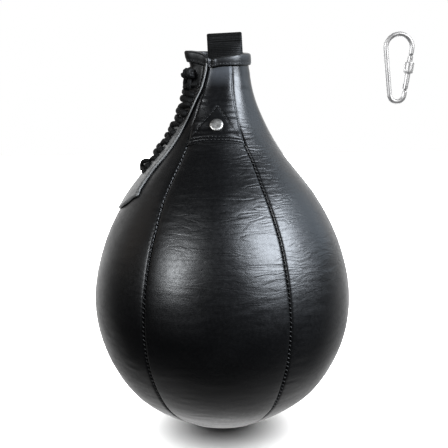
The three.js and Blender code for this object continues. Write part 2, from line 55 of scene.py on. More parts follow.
# ---- sizes, the CAD part's or within about 2 mm of them ----
OUTLINE = (
    (-10, 24), (-36, 24.6), (-62, 31.8), (-94, 49.5), (-135, 81.5), (-176, 102),
    (-220, 110.8), (-262, 104), (-300, 82), (-326, 46.5), (-336, 18), (-339, 0),
)
GORE_TIP = -338.4
FIRST_SEAM = math.radians(27.5)
GORE_ANGLE = math.radians(60)
GORE_NAMES = ("front", "front_left", "rear_left", "rear", "rear_right", "front_right")
SLIT = FIRST_SEAM - 2 * GORE_ANGLE
SLIT_BOTTOM = -112
SLIT_HALF_WIDTH = 1.5
LEATHER = 1.8
OVERLAY = 1.4
OVERLAY_GAP = 0.6
BINDING = 1.2
BINDING_GAP = 0.6
COLLAR_HEIGHT = 7.5
COLLAR_MIDDLE = -19.7
COLLAR_PITCH = 3.4  # the rim is this much lower in front than at its middle
COLLAR_ROLL = 0.9  # and this much lower on the right
GAP = 0.3
PATCH_BOTTOM = -88
RIVET_HEIGHT = -75.0
RIVET_TURNS = {"front": FIRST_SEAM - GORE_ANGLE / 2, "rear": FIRST_SEAM - GORE_ANGLE / 2 + math.pi}
FACING_EDGE = (
    (-27, 25), (-47, 26.5), (-69, 28.5), (-84, 26.5), (-108, 29), (-124, 38.5), (-130, 44.5),
    (-133, 38.5), (-137, 34), (-141, 25), (-144, 12), (-145, 3),
)
WEBBING = 2
WEBBING_WIDTH = 29
FOLD_RADIUS = 5.5
FOLD_CENTRE = -FOLD_RADIUS + WEBBING / 2
STRAP_OFFSET = 4.1
STRAP_LEAN = math.tan(math.radians(2.5))
STRAP_BOTTOM = -86
STRAP_DEPTH = LEATHER + 1.1 + WEBBING / 2  # from the wall to the middle of a leg
NECK_INSIDE = 18.4  # middle of a leg, inside the collar
NECK_BEND_BOTTOM = -26  # where the legs start to close up towards the fold
NOTCH = math.radians(-26)  # where the collar is creased, left of the strap


# ---- numbers ----
def smoothstep(low, high, value):
    """0 at low, 1 at high, smooth between; low may be the larger."""
    t = np.clip((value - low) / (high - low), 0, 1)
    return t * t * (3 - 2 * t)


def bump(value, width):
    """1 where value is 0, falling to 0 over about twice the width."""
    return np.exp(-((value / width) ** 2))


def turn_between(azimuth, other):
    """Signed angle from other to azimuth, within half a turn."""
    return (azimuth - other + np.pi) % (2 * np.pi) - np.pi


def beside(azimuth, degrees, reach):
    """1 at an azimuth given in degrees, falling to 0 over about twice the reach, in radians."""
    return bump(turn_between(azimuth, math.radians(degrees)), reach)


def unit(vectors):
    return vectors / np.linalg.norm(vectors, axis=-1, keepdims=True)


def circle(steps):
    return np.linspace(0, 2 * np.pi, steps, endpoint=False)


def grid(rows, columns):
    """Fractions from 0 to 1, across a grid and down it."""
    return np.linspace(0, 1, columns)[None, :], np.linspace(0, 1, rows)[:, None]


def length_along(path):
    return np.concatenate([[0], np.cumsum(np.linalg.norm(np.diff(path, axis=0), axis=1))])


def spline(points, per_span=60):
    """A curve through the points, as the CAD part draws its outline."""
    points = np.array(points, float)
    padded = np.vstack([points[:1], points, points[-1:]])
    t = np.linspace(0, 1, per_span, endpoint=False)[:, None]
    spans = []
    for i in range(len(points) - 1):
        before, start, end, after = padded[i:i + 4]
        v0, v1 = (end - before) / 2, (after - start) / 2
        spans.append(
            (2 * start - 2 * end + v0 + v1) * t ** 3
            + (-3 * start + 3 * end - 2 * v0 - v1) * t ** 2
            + v0 * t
            + start
        )
    return np.vstack([*spans, points[-1:]])


class Grain:
    """Smooth seeded noise on a plane, about -1 to 1, one lump per unit."""

    def __init__(self, seed, side=256):
        self.side = side
        self.table = np.random.default_rng(seed).uniform(-1, 1, (side, side))

    def __call__(self, x, y):
        x, y = np.broadcast_arrays(np.asarray(x, float), np.asarray(y, float))
        column, row = np.floor(x).astype(int), np.floor(y).astype(int)
        s, t = x - column, y - row
        s, t = s * s * (3 - 2 * s), t * t * (3 - 2 * t)

        def at(i, j):
            return self.table[(row + j) % self.side, (column + i) % self.side]

        low = at(0, 0) * (1 - s) + at(1, 0) * s
        high = at(0, 1) * (1 - s) + at(1, 1) * s
        return low * (1 - t) + high * t


# ---- the bag's wall ----
dense = spline(OUTLINE)
HEIGHTS, RADII = dense[:, 0], dense[:, 1]
RUNS = length_along(dense)
SLOPES = unit(np.gradient(dense, RUNS, axis=0))


def run_at(height):
    return np.interp(-np.asarray(height, float), -HEIGHTS, RUNS)


def radius_at(run):
    return np.interp(run, RUNS, RADII)


def height_at(run):
    return np.interp(run, RUNS, HEIGHTS)


def slope_at(run):
    """How the wall's height and radius change with the run."""
    return np.interp(run, RUNS, SLOPES[:, 0]), np.interp(run, RUNS, SLOPES[:, 1])


def squareness(azimuth, height):
    power = 2 + smoothstep(-80, -35, height)
    total = np.abs(np.sin(azimuth)) ** power + np.abs(np.cos(azimuth)) ** power
    return total ** (-1 / power)


def lift(azimuth, radius, height):
    """How far the neck stands off its outline: the slit's lips bend out, the faces beside it are flat."""
    aside = turn_between(azimuth, SLIT)
    seam = 0.4 * smoothstep(SLIT_BOTTOM - 25, SLIT_BOTTOM + 10, height) * bump(aside * radius, 12)
    front = smoothstep(-0.1, 0.12, aside)
    flare = (0.2 + 3.3 * front) * smoothstep(-29, -13, height) * bump(aside, 0.3 + 0.12 * front)
    lips = flare + 0.8 * smoothstep(-45, -24, height) * bump(aside, 0.5)
    flat_left = beside(azimuth, -54, 0.4) * smoothstep(-62, -28, height)
    flat_right = beside(azimuth, 55, 0.4) * smoothstep(-105, -62, height)
    full_right = beside(azimuth, 84, 0.45) * smoothstep(-125, -50, height)
    full_right = full_right * (1 - 0.5 * smoothstep(-32, -24, height))
    return seam + lips + 1.7 * full_right - 2.4 * (flat_left + flat_right)


# Seams wander from their even places: (seam, reach of the shift, (height, shift in degrees)).
SLIT_SHIFT = ((-165, 0), (-140, 2), (-112, 8), (-75, 17), (-60, 22), (-30, 22), (-10, 18))
LEFT_SHIFT = (
    (-190, 0), (-152, -0.5), (-124, -3), (-90, -4.3), (-74, -7), (-54, -1.6), (-30, 7.7), (-20, 9)
)
RIGHT_SHIFT = ((-160, 0), (-124, -1), (-101, -0.5), (-91, -2.6), (-74, -3.3), (-46, -4.4), (-20, -2))
SEAM_SHIFTS = ((-92.5, 0.75, SLIT_SHIFT), (-32.5, 0.42, LEFT_SHIFT), (27.5, 0.42, RIGHT_SHIFT))


def twisted(azimuth, height):
    shift = 0
    for seam, reach, shifts in SEAM_SHIFTS:
        heights, degrees = zip(*shifts)
        shift = shift + np.interp(height, heights, np.radians(degrees)) * beside(azimuth, seam, reach)
    return azimuth + shift


def wall(azimuth, run, out):
    """Points at a distance outside the bag's face, in metres."""
    azimuth, run, out = np.broadcast_arrays(*(np.asarray(x, float) for x in (azimuth, run, out)))
    radius, height = radius_at(run), height_at(run)
    down, away = slope_at(run)
    out = out + lift(azimuth, radius, height)
    height = height + out * away
    azimuth = twisted(azimuth, height)
    reach = (radius - out * down) * squareness(azimuth, height)
    return np.stack([reach * np.sin(azimuth), -reach * np.cos(azimuth), height], -1) * MM


def wall_normal(azimuth, run):
    return unit(wall(azimuth, run, 1.0) - wall(azimuth, run, 0.0))


def down_the_wall(azimuth, run):
    return unit(wall(azimuth, run + 1, 0) - wall(azimuth, run - 1, 0))


def collar_middle(azimuth):
    dip = 2.3 * bump(turn_between(azimuth, NOTCH), 0.35)
    return COLLAR_MIDDLE - COLLAR_PITCH * np.cos(azimuth) - COLLAR_ROLL * np.sin(azimuth) - dip


# ---- meshes ----
def add(name, data):
    obj = bpy.data.objects.new(name, data)
    bpy.context.scene.collection.objects.link(obj)
    return obj


def make_mesh(name, points, faces, sharp=35):
    mesh = bpy.data.meshes.new(name)
    mesh.from_pydata([tuple(p) for p in np.asarray(points).reshape(-1, 3)], [], faces)
    mesh.validate()
    mesh.polygons.foreach_set("use_smooth", [True] * len(mesh.polygons))
    mesh.set_sharp_from_angle(angle=math.radians(sharp))
    return add(name, mesh)


def strip_faces(rows, columns, start=0, loop=False, flip=False):
    """Faces of a grid of points; loop joins the last column to the first."""
    across = columns if loop else columns - 1
    j, i = np.mgrid[0:rows - 1, 0:across]
    a = start + j * columns + i
    b = start + j * columns + (i + 1) % columns
    quads = np.stack([a, a + columns, b + columns, b], -1).reshape(-1, 4)
    if flip:
        quads = quads[:, ::-1]
    return quads.tolist()


def slab(name, outer, inner, sharp=60):
    """A closed sheet between two grids of points of one size, rows running down."""
    rows, columns = outer.shape[:2]
    layer = rows * columns
    index = np.arange(layer).reshape(rows, columns)
    border = np.concatenate([index[:, 0], index[-1, 1:], index[-2::-1, -1], index[0, -2:0:-1]])
    after = np.roll(border, -1)
    faces = strip_faces(rows, columns) + strip_faces(rows, columns, layer, flip=True)
    faces += np.stack([border, layer + border, layer + after, after], -1).tolist()
    return make_mesh(name, np.vstack([outer.reshape(-1, 3), inner.reshape(-1, 3)]), faces, sharp)


def sweep_points(path, up, section):
    """Rings along a path; section is (steps, sides, 2) or (sides, 2), across and up from the path."""
    path = np.asarray(path, float)
    tangent = unit(np.gradient(path, axis=0))
    side = unit(np.cross(tangent, np.broadcast_to(up, path.shape).astype(float)))
    top = np.cross(side, tangent)
    section = np.broadcast_to(section, (len(path), *np.shape(section)[-2:]))
    return path[:, None] + side[:, None] * section[..., :1] + top[:, None] * section[..., 1:]


def round_section(radius, sides):
    """A circle to sweep; radius is one number, or a column with one for each step."""
    turn = circle(sides)
    return np.stack([radius * np.cos(turn), radius * np.sin(turn)], -1)


def joined_tubes(name, blocks, capped=True, sharp=60):
    """One mesh of several tubes, each a (rows, sides, 3) block of points in metres."""
    faces, start = [], 0
    for block in blocks:
        rows, sides = block.shape[:2]
        faces += strip_faces(rows, sides, start, loop=True)
        last = start + (rows - 1) * sides
        if capped:
            faces.append(list(range(start, start + sides)))
            faces.append(list(range(last + sides - 1, last - 1, -1)))
        start += rows * sides
    return make_mesh(name, np.vstack([block.reshape(-1, 3) for block in blocks]), faces, sharp)


def lathe_points(profile, segments):
    """Rings round Z from (radius, height) pairs."""
    profile, turn = np.array(profile, float), circle(segments)
    return np.stack(
        [profile[:, :1] * np.cos(turn), profile[:, :1] * np.sin(turn), profile[:, 1:] + 0 * turn], -1
    )


def turned(name, rings, closed=False, sharp=35):
    """A solid through rings of points in mm; closed joins the last ring to the first."""
    if closed:
        rings = np.concatenate([rings, rings[:1]])
    faces = strip_faces(len(rings), rings.shape[1], loop=True, flip=True)
    obj = make_mesh(name, rings * MM, faces, sharp)
    weld(obj)
    return obj


def weld(obj):
    made = bmesh.new()
    made.from_mesh(obj.data)
    bmesh.ops.remove_doubles(made, verts=made.verts, dist=1e-6)
    bmesh.ops.recalc_face_normals(made, faces=made.faces)
    made.to_mesh(obj.data)
    made.free()


def stitches(name, starts, ends, normals, radius, rise):
    """Short threads from starts to ends in metres, each a small arch; radius and rise in mm."""
    t = np.linspace(0, 1, 6)[None, :, None]
    arch = np.sin(np.pi * t)
    fat = radius * MM * np.clip(0.35 + 0.9 * arch, 0, 1.0)
    normals = normals[:, None]
    centre = starts[:, None] * (1 - t) + ends[:, None] * t + normals * rise * MM * arch
    side = unit(np.cross(unit(ends - starts)[:, None], normals))
    turn = circle(6)[None, None, :, None]
    offset = side[:, None] * np.cos(turn) + normals[:, None] * np.sin(turn)
    return joined_tubes(name, centre[:, :, None] + offset * fat[:, :, None])


def stitch_line(azimuths, runs, outs, pitch, margin):
    """Starts, ends and normals of 2 mm stitches, one every pitch, along a line on the wall."""
    line = wall(azimuths, runs, outs)
    steps = length_along(line) / MM
    at = np.arange(margin, steps[-1] - margin, pitch)

    def point(where):
        return np.stack([np.interp(where, steps, line[:, k]) for k in range(3)], -1)

    normals = wall_normal(np.interp(at, steps, azimuths), np.interp(at, steps, runs))
    return point(at - 1.0), point(at + 1.0), normals


def put(obj, body, slot, material, *replaced):
    obj.data.materials.clear()
    obj.data.materials.append(material)
    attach(obj, body)
    if replaced:
        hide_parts(*replaced)
    return obj


# ---- materials ----
class Tree:
    """Short names for building a node tree."""

    def __init__(self, tree):
        self.tree = tree

    def new(self, kind, **settings):
        """A node with its settings; one named like an input goes there, as a value or as a link."""
        node = self.tree.nodes.new(kind)
        for key, value in settings.items():
            socket = node.inputs.get(key.replace("_", " "))
            if socket is None:
                setattr(node, key, value)
            elif isinstance(value, bpy.types.NodeSocket):
                self.link(value, socket)
            else:
                socket.default_value = value
        return node

    def link(self, source, target):
        self.tree.links.new(source, target)

    def axes(self, vector):
        return self.new("ShaderNodeSeparateXYZ", Vector=vector).outputs

    def range(self, value, low, high, to_low, to_high, curve="LINEAR"):
        node = self.new(
            "ShaderNodeMapRange", interpolation_type=curve, Value=value,
            From_Min=low, From_Max=high, To_Min=to_low, To_Max=to_high,
        )
        return node.outputs["Result"]

    def math(self, operation, a, b):
        node = self.new("ShaderNodeMath", operation=operation)
        for socket, value in zip(node.inputs, (a, b)):
            if isinstance(value, (int, float)):
                socket.default_value = value
            else:
                self.link(value, socket)
        return node.outputs["Value"]


class Nodes(Tree):
    """One material's node tree, with its textures in object coordinates."""

    def __init__(self, name, **sockets):
        self.material = bpy.data.materials.new(name)
        self.material.use_nodes = True
        super().__init__(self.material.node_tree)
        self.shader = self.tree.nodes["Principled BSDF"]
        for socket, value in sockets.items():
            self.shader.inputs[socket.replace("_", " ")].default_value = value
        self.place = self.new("ShaderNodeTexCoord").outputs["Object"]

    def scaled(self, x, y, z, turn=(0, 0, 0)):
        mapping = self.new("ShaderNodeMapping", Scale=(x, y, z), Rotation=turn, Vector=self.place)
        return mapping.outputs["Vector"]

    def noise(self, scale, detail=3.0, roughness=0.55, distortion=0.0, at=None):
        node = self.new(
            "ShaderNodeTexNoise", Vector=at or self.place,
            Scale=scale, Detail=detail, Roughness=roughness, Distortion=distortion,
        )
        return node.outputs["Fac"]

    def cells(self, scale, at=None):
        node = self.new(
            "ShaderNodeTexVoronoi", feature="DISTANCE_TO_EDGE", Scale=scale, Vector=at or self.place
        )
        return node.outputs["Distance"]

    def ramp(self, value, *stops):
        node = self.new("ShaderNodeValToRGB", Fac=value)
        for element, (position, colour) in zip(node.color_ramp.elements, stops):
            element.position = position
            element.color = (*colour, 1)
        return node.outputs["Color"]

    def folds(self, value):
        """Narrow valleys where a noise crosses its middle."""
        away = self.math("ABSOLUTE", self.math("SUBTRACT", value, 0.5), 0.0)
        return self.range(away, 0.0, 0.16, 0.0, 1.0)

    def bumps(self, *layers):
        """Layers of (height output, distance in metres), stacked on the normal."""
        normal = None
        for height, distance in layers:
            node = self.new("ShaderNodeBump", Strength=1.0, Distance=distance, Height=height)
            if normal is not None:
                self.link(normal, node.inputs["Normal"])
            normal = node.outputs["Normal"]
        self.link(normal, self.shader.inputs["Normal"])

    def colour(self, output):
        self.link(output, self.shader.inputs["Base Color"])

    def roughness(self, output):
        self.link(output, self.shader.inputs["Roughness"])


def leather_material(name, dark, light, rough, crease, grain, wrinkle=0.0, painted_light_and_shade=None, gloss=0.5):
    """Coated leather: pebble grain, fine creases, and wrinkles pulled across the shoulder of the bag.

    Light and shade can be painted in towards the top, given as (height where it starts, height where it is
    full, colour).
    """
    n = Nodes(name, Specular_IOR_Level=gloss)
    warp = n.noise(24.0, 2.0)
    creases = n.folds(n.noise(1.0, 2.0, 0.5, 0.7, n.scaled(190, 190, 330)))
    crackle = n.cells(430.0, at=n.scaled(1, 1, 1.5))
    lumps = n.noise(420.0, 4.0, 0.6)
    layers = [(creases, crease), (crackle, grain * 2.5), (n.cells(1000.0), grain)]
    place = n.axes(n.place)
    if wrinkle:
        below = n.range(place["Z"], -0.215, -0.17, 0.0, 1.0)
        above = n.range(place["Z"], -0.05, -0.085, 0.0, 1.0)
        aside = n.range(place["X"], -0.06, 0.02, 0.1, 1.0)
        where = n.math("MULTIPLY", n.math("MULTIPLY", below, above), aside)
        where = n.math("MULTIPLY", where, n.range(warp, 0.35, 0.55, 0.45, 1.0))
        long_folds = n.folds(n.noise(1.0, 1.0, 0.4, 0.8, n.scaled(48, 48, 225, (0, -0.06, 0))))
        layers.insert(0, (n.math("MULTIPLY", long_folds, where), wrinkle))
    n.bumps(*layers)
    colour = n.ramp(n.noise(35.0, 5.0, 0.65), (0.3, dark), (0.7, light))
    # Painted light and shade: a given colour blended in towards the top by height, a painted highlight on
    # the neck patches and painted shade on the facings.
    if painted_light_and_shade:
        start, full, painted_colour = painted_light_and_shade
        mix = n.new("ShaderNodeMix", data_type="RGBA")
        height = n.math("ADD", place["Z"], n.math("MULTIPLY", warp, 0.012))
        n.link(n.range(height, start, full, 0.0, 1.0), mix.inputs["Factor"])
        n.link(colour, mix.inputs["A"])
        mix.inputs["B"].default_value = (*painted_colour, 1)
        colour = mix.outputs["Result"]
    n.colour(colour)
    n.roughness(n.range(n.math("MULTIPLY", lumps, warp), 0.1, 0.4, rough - 0.05, rough + 0.08))
    return n.material


def thread_material(name, colour, rough):
    n = Nodes(name, Specular_IOR_Level=0.5, Sheen_Weight=0.15)
    twist = n.new(
        "ShaderNodeTexWave", bands_direction="DIAGONAL", Scale=900, Distortion=1.0, Vector=n.place
    )
    # Painted shade: the colour falls to 0.55 of the thread's own in the twist's grooves, following the same
    # wave as the bump.
    dark = tuple(c * 0.55 for c in colour)
    n.colour(n.ramp(twist.outputs["Fac"], (0.2, dark), (0.8, colour)))
    n.bumps((twist.outputs["Fac"], 0.0001))
    n.roughness(n.range(n.noise(300.0), 0.3, 0.7, rough - 0.08, rough + 0.08))
    return n.material


def woven_material(name, yarns, stain, dark, light, bump_depth, rough, gloss, sheen, fuzz=None):
    """Nylon: yarns is the scale of its bumps, and fuzz a finer layer of (scale, depth)."""
    n = Nodes(name, Specular_IOR_Level=gloss, Sheen_Weight=sheen, Sheen_Roughness=0.5)
    height = n.noise(1.0, 3.0, 0.6, yarns[3], n.scaled(*yarns[:3]))
    n.colour(n.ramp(n.noise(stain, 4.0, 0.7), (0.3, dark), (0.72, light)))
    n.bumps((height, bump_depth), *([(n.noise(fuzz[0], 2.0), fuzz[1])] if fuzz else []))
    n.roughness(n.range(height, 0.3, 0.7, *rough))
    return n.material


def rubber_material():
    n = Nodes("bladder_rubber", Specular_IOR_Level=0.4)
    dust = n.noise(55.0, 6.0, 0.7)
    n.colour(n.ramp(dust, (0.35, (0.085, 0.042, 0.025)), (0.7, (0.15, 0.085, 0.055))))
    n.bumps((n.noise(700.0, 3.0), 0.00008))
    n.roughness(n.range(dust, 0.3, 0.7, 0.5, 0.72))
    return n.material


def metal_material(name, dark, light, rough, scratch, metallic=1.0):
    n = Nodes(name, Metallic=metallic)
    scuffs = n.noise(1.0, 4.0, 0.7, 0.8, n.scaled(500, 1700, 700, (0.3, 0.5, 0.2)))
    clouds = n.noise(160.0, 4.0, 0.6)
    n.colour(n.ramp(clouds, (0.3, dark), (0.68, light)))
    n.bumps((scuffs, scratch))
    n.roughness(n.range(n.math("MULTIPLY", scuffs, clouds), 0.12, 0.4, rough - 0.06, rough + 0.12))
    return n.material


BLACK_LEATHER = leather_material(
    "gore_leather", (0.0018, 0.0019, 0.0022), (0.0036, 0.0037, 0.0041),
    rough=0.355, crease=0.000014, grain=0.000016, wrinkle=0.00014,
)
# Painted highlight: the neck patches turn lighter and bluer towards the top of the neck, where they catch
# the light.
SMOOTH_LEATHER = leather_material(
    "trim_leather", (0.002, 0.0021, 0.0024), (0.0046, 0.0047, 0.0052),
    rough=0.34, crease=0.00003, grain=0.00001, painted_light_and_shade=(-0.04, -0.027, (0.05, 0.053, 0.058)), gloss=0.33,
)
COLLAR_LEATHER = leather_material(
    "collar_leather", (0.004, 0.0042, 0.0045), (0.009, 0.0093, 0.0098),
    rough=0.43, crease=0.00003, grain=0.00001,
)
# Painted shade: the facings turn near black towards their top, where the lace and its knot shade them.
FACING_LEATHER = leather_material(
    "facing_leather", (0.095, 0.096, 0.095), (0.15, 0.151, 0.149),
    rough=0.37, crease=0.00003, grain=0.00002, painted_light_and_shade=(-0.082, -0.06, (0.004, 0.004, 0.004)),
)
PIPING = leather_material(
    "facing_edge", (0.1, 0.1, 0.098), (0.16, 0.16, 0.155), rough=0.4, crease=0.00002, grain=0.00001
)
THREAD = thread_material("seam_thread", (0.012, 0.012, 0.012), 0.5)
GREY_THREAD = thread_material("facing_thread", (0.09, 0.09, 0.088), 0.5)
DARK_THREAD = thread_material("collar_thread", (0.03, 0.03, 0.032), 0.5)
WEB = woven_material(
    "webbing_nylon", (1500, 1500, 420, 0.2), 60.0, (0.0008, 0.0008, 0.0008), (0.0024, 0.0024, 0.0023),
    bump_depth=0.00022, rough=(0.42, 0.65), gloss=0.2, sheen=0.008, fuzz=(2600.0, 0.00008),
)
CORD = woven_material(
    "lace_braid", (900, 900, 900, 0.5), 80.0, (0.0015, 0.0015, 0.0015), (0.0055, 0.0055, 0.0052),
    bump_depth=0.00016, rough=(0.5, 0.75), gloss=0.25, sheen=0.02,
)
RUBBER = rubber_material()
NICKEL = metal_material("dull_nickel", (0.3, 0.29, 0.275), (0.45, 0.44, 0.42), rough=0.42, scratch=0.00006)
ZINC = metal_material(
    "bright_zinc", (0.66, 0.66, 0.665), (0.78, 0.78, 0.785), rough=0.34, scratch=0.00002, metallic=0.6
)
SPRING = metal_material("spring_wire", (0.45, 0.45, 0.46), (0.62, 0.62, 0.64), rough=0.25, scratch=0.00001)
DARK_METAL = metal_material(
    "eyelet_black", (0.02, 0.02, 0.021), (0.05, 0.05, 0.05), rough=0.35, scratch=0.00002
)

# ---- gores ----
SEAM_DIP = 1.5  # the leather turns down this far into a seam
SEAM_ROLL = 0.95
STITCH_PITCH = 3.6
waves = Grain(11)
swells = Grain(12)
puckers = Grain(13)


def is_laced(seam, run):
    return (abs(turn_between(seam, SLIT)) < 0.01) & (height_at(run) > SLIT_BOTTOM)


def seam_half_gap(seam, run):
    return np.where(is_laced(seam, run), SLIT_HALF_WIDTH, GAP / 2) / radius_at(run)


def rim_run(azimuth):
    return run_at(collar_middle(azimuth) + COLLAR_HEIGHT / 2 - BINDING - BINDING_GAP)


def leather_relief(azimuth, run):
    """Swells and creases of the stretched leather, in mm."""
    radius = radius_at(run)
    below_rim = smoothstep(0, 16, run - rim_run(azimuth))
    near_pole = smoothstep(8, 60, radius)
    around = azimuth * radius
    swell = 0.45 * swells(azimuth * 3.1 + 9, run / 55)
    crease = 0.1 * waves(around / 15 + 40, run / 3.4 + 0.9 * swells(around / 26, run / 18))
    crease += 0.08 * waves(around / 8 + 90, run / 2.2 + 50)
    strength = smoothstep(-0.5, 0.5, swells(azimuth * 2.2 + 31, run / 70 + 7)) * 0.7 + 0.3
    fold = run - run_at(-45.5) - 3 * turn_between(azimuth, math.radians(50))
    fold_depth = 0.9 * bump(fold, 2.2) - 0.5 * bump(fold + 5, 3.5)
    swell = swell - fold_depth * bump(turn_between(azimuth, 0.93), 0.28)
    return (swell + crease * strength) * below_rim * near_pole


def seam_relief(aside, run):
    """How far the leather turns down beside a seam and puckers at its stitches, in mm."""
    pull = 0.5 + 0.5 * np.cos(2 * np.pi * run / STITCH_PITCH)
    pucker = (0.16 + 0.12 * puckers(run / 9, aside / 50)) * pull * bump(aside, 4.5)
    return -SEAM_DIP * bump(aside, SEAM_ROLL) - 0.25 * bump(aside, 5) - pucker


def make_gore(number, name):
    right = FIRST_SEAM - number * GORE_ANGLE
    left = right - GORE_ANGLE
    even, v = grid(300, 44)
    u = 0.45 * even + 0.55 * (1 - np.cos(np.pi * even)) / 2
    tip = run_at(GORE_TIP)
    middle_rim = rim_run((left + right) / 2)
    middle_run = middle_rim + (tip - middle_rim) * v
    from_angle = left + seam_half_gap(left, middle_run)
    to_angle = right - seam_half_gap(right, middle_run)
    azimuth = from_angle + (to_angle - from_angle) * u
    run = rim_run(azimuth) + (tip - rim_run(azimuth)) * v
    radius = radius_at(run)
    fade = smoothstep(2, 14, run - rim_run(azimuth)) * smoothstep(4, 14, radius)
    fade = fade * (0.2 + 0.8 * smoothstep(-70, -95, height_at(run)))
    out = leather_relief(azimuth, run)
    for seam, sign in ((left, 1), (right, -1)):
        relief = seam_relief(sign * (azimuth - seam) * radius, run)
        out = out + np.where(is_laced(seam, run), 0, relief * fade)
    inner = wall(azimuth, run, np.minimum(out - LEATHER, -LEATHER + 0.2))
    gore = slab(f"leather_gore_{name}", wall(azimuth, run, out), inner, sharp=50)
    put(gore, "bag", "black_leather", BLACK_LEATHER, f"gore_{name}")


for number, name in enumerate(GORE_NAMES):
    make_gore(number, name)


def seam_point(seam, run, aside, out):
    """A point beside a seam, aside in mm to the right of it."""
    return wall(seam + aside / radius_at(run), run, out)


# The seams whose threads start below the rim: four under the patches, one below the slit.
SEAM_THREAD_TOPS = {number: run_at(PATCH_BOTTOM - 5) for number in (0, 1, 3, 4)} | {2: run_at(-152)}


def make_seam_threads(number):
    seam = FIRST_SEAM - number * GORE_ANGLE
    top = SEAM_THREAD_TOPS.get(number, rim_run(seam) + 9)
    runs = np.arange(top, run_at(GORE_TIP + 1.4), STITCH_PITCH)
    lean = 0.55 * puckers(runs / 5, number)
    starts = seam_point(seam, runs - 0.75, -1.15, -0.9 + 0.15 * lean)
    ends = seam_point(seam, runs + 0.75 + 0.4 * lean, 1.15, -0.9 - 0.15 * lean)
    normals = wall_normal(seam, runs)
    threads = stitches(f"seam_thread_{number + 1}", starts, ends, normals, radius=0.42, rise=0.35)
    put(threads, "bag", "black_leather", THREAD)


for number in range(len(GORE_NAMES)):
    make_seam_threads(number)

# ---- neck patches ----
PATCH_FACE = 0.7
PATCH_ROWS = (2.4, 5.2)  # stitch rows, up from the bottom edge
TRIANGLE_TOP = -59.0
TRIANGLE_BOTTOM = -82.0
TRIANGLE_HALF = 17.0


def patch_bottom(turn):
    """Run of a patch's bottom edge; turn is 0 at its middle and half a unit at its sides."""
    return run_at(PATCH_BOTTOM - 10 * turn * turn)


def triangle_half_width(height):
    return TRIANGLE_HALF * (TRIANGLE_TOP - height) / (TRIANGLE_TOP - TRIANGLE_BOTTOM)


def patch_relief(azimuth, centre, run, bottom):
    """The patch puffs up between its stitch rows and is pulled in under each of them."""
    height, radius = height_at(run), radius_at(run)
    aside = turn_between(azimuth, centre) * radius
    out = 0.2 + 0.2 * swells(aside / 9 + 5, run / 9)
    out = out + 0.16 * waves(aside / 12, run / 2.6) * smoothstep(30, 44, run)
    for row in PATCH_ROWS:
        out = out - 0.3 * bump(bottom - row - run, 0.9)
    leg = np.abs(np.abs(aside) - triangle_half_width(height))
    inside = smoothstep(TRIANGLE_TOP + 1, TRIANGLE_TOP - 1, height)
    inside = inside * smoothstep(TRIANGLE_BOTTOM - 2, TRIANGLE_BOTTOM, height)
    rivet = np.hypot(aside, run - run_at(RIVET_HEIGHT))
    return out - 0.3 * bump(leg, 1.1) * inside - 0.35 * bump(rivet, 7)


def make_patch(side, centre):
    u, v = grid(150, 64)
    turn = u - 0.5
    top = run_at(collar_middle(centre + turn) - COLLAR_HEIGHT / 2 - 2 * GAP)
    bottom = patch_bottom(turn)
    run = top + (bottom - top) * v
    radius = radius_at(run)
    azimuth = centre + 2 * turn * (GORE_ANGLE / 2 - 0.3 / radius)
    to_side = (GORE_ANGLE / 2 - 0.6 / radius) * radius - np.abs(turn_between(azimuth, centre)) * radius
    edge = 1 - smoothstep(0, 1.5, np.minimum(to_side, bottom - run))
    face = PATCH_FACE + patch_relief(azimuth, centre, run, bottom) * smoothstep(0, 8, run - run[0])
    tucked = 0.6 * bump(to_side, SEAM_ROLL)
    outer, inner = wall(azimuth, run, face - 0.2 * edge - tucked), wall(azimuth, run, 0.1 - tucked)
    patch = slab(f"neck_patch_{side}_leather", outer, inner)
    put(patch, "bag", "black_leather", SMOOTH_LEATHER, f"neck_patch_{side}")

    half_turn = np.linspace(-0.94, 0.94, 120) * GORE_ANGLE / 2
    lines = [(centre + half_turn, patch_bottom(half_turn / GORE_ANGLE) - row) for row in PATCH_ROWS]
    heights = np.linspace(TRIANGLE_TOP, TRIANGLE_BOTTOM, 60)
    leg = triangle_half_width(heights) / radius_at(run_at(heights))
    lines += [(centre + sign * leg, run_at(heights)) for sign in (-1, 1)]
    sewn = []
    for azimuths, runs in lines:
        bottom = patch_bottom(turn_between(azimuths, centre) / GORE_ANGLE)
        outs = PATCH_FACE - 0.05 + patch_relief(azimuths, centre, runs, bottom)
        sewn.append(stitch_line(azimuths, runs, outs, pitch=3.0, margin=1.2))
    sewn = (np.concatenate(parts) for parts in zip(*sewn))
    threads = stitches(f"neck_patch_{side}_thread", *sewn, radius=0.34, rise=0.3)
    put(threads, "bag", "black_leather", THREAD)


for side, centre in RIVET_TURNS.items():
    make_patch(side, centre)


# ---- rivets ----
def on_wall(obj, azimuth, height):
    """Puts a piece made on the Z axis on the wall, +Z pointing out of it."""
    run = run_at(height)
    at, normal = wall(azimuth, run, 0), wall_normal(azimuth, run)
    turn = Vector((0, 0, 1)).rotation_difference(Vector(normal))
    obj.data.transform(Matrix.Translation(Vector(at)) @ turn.to_matrix().to_4x4())
    return obj


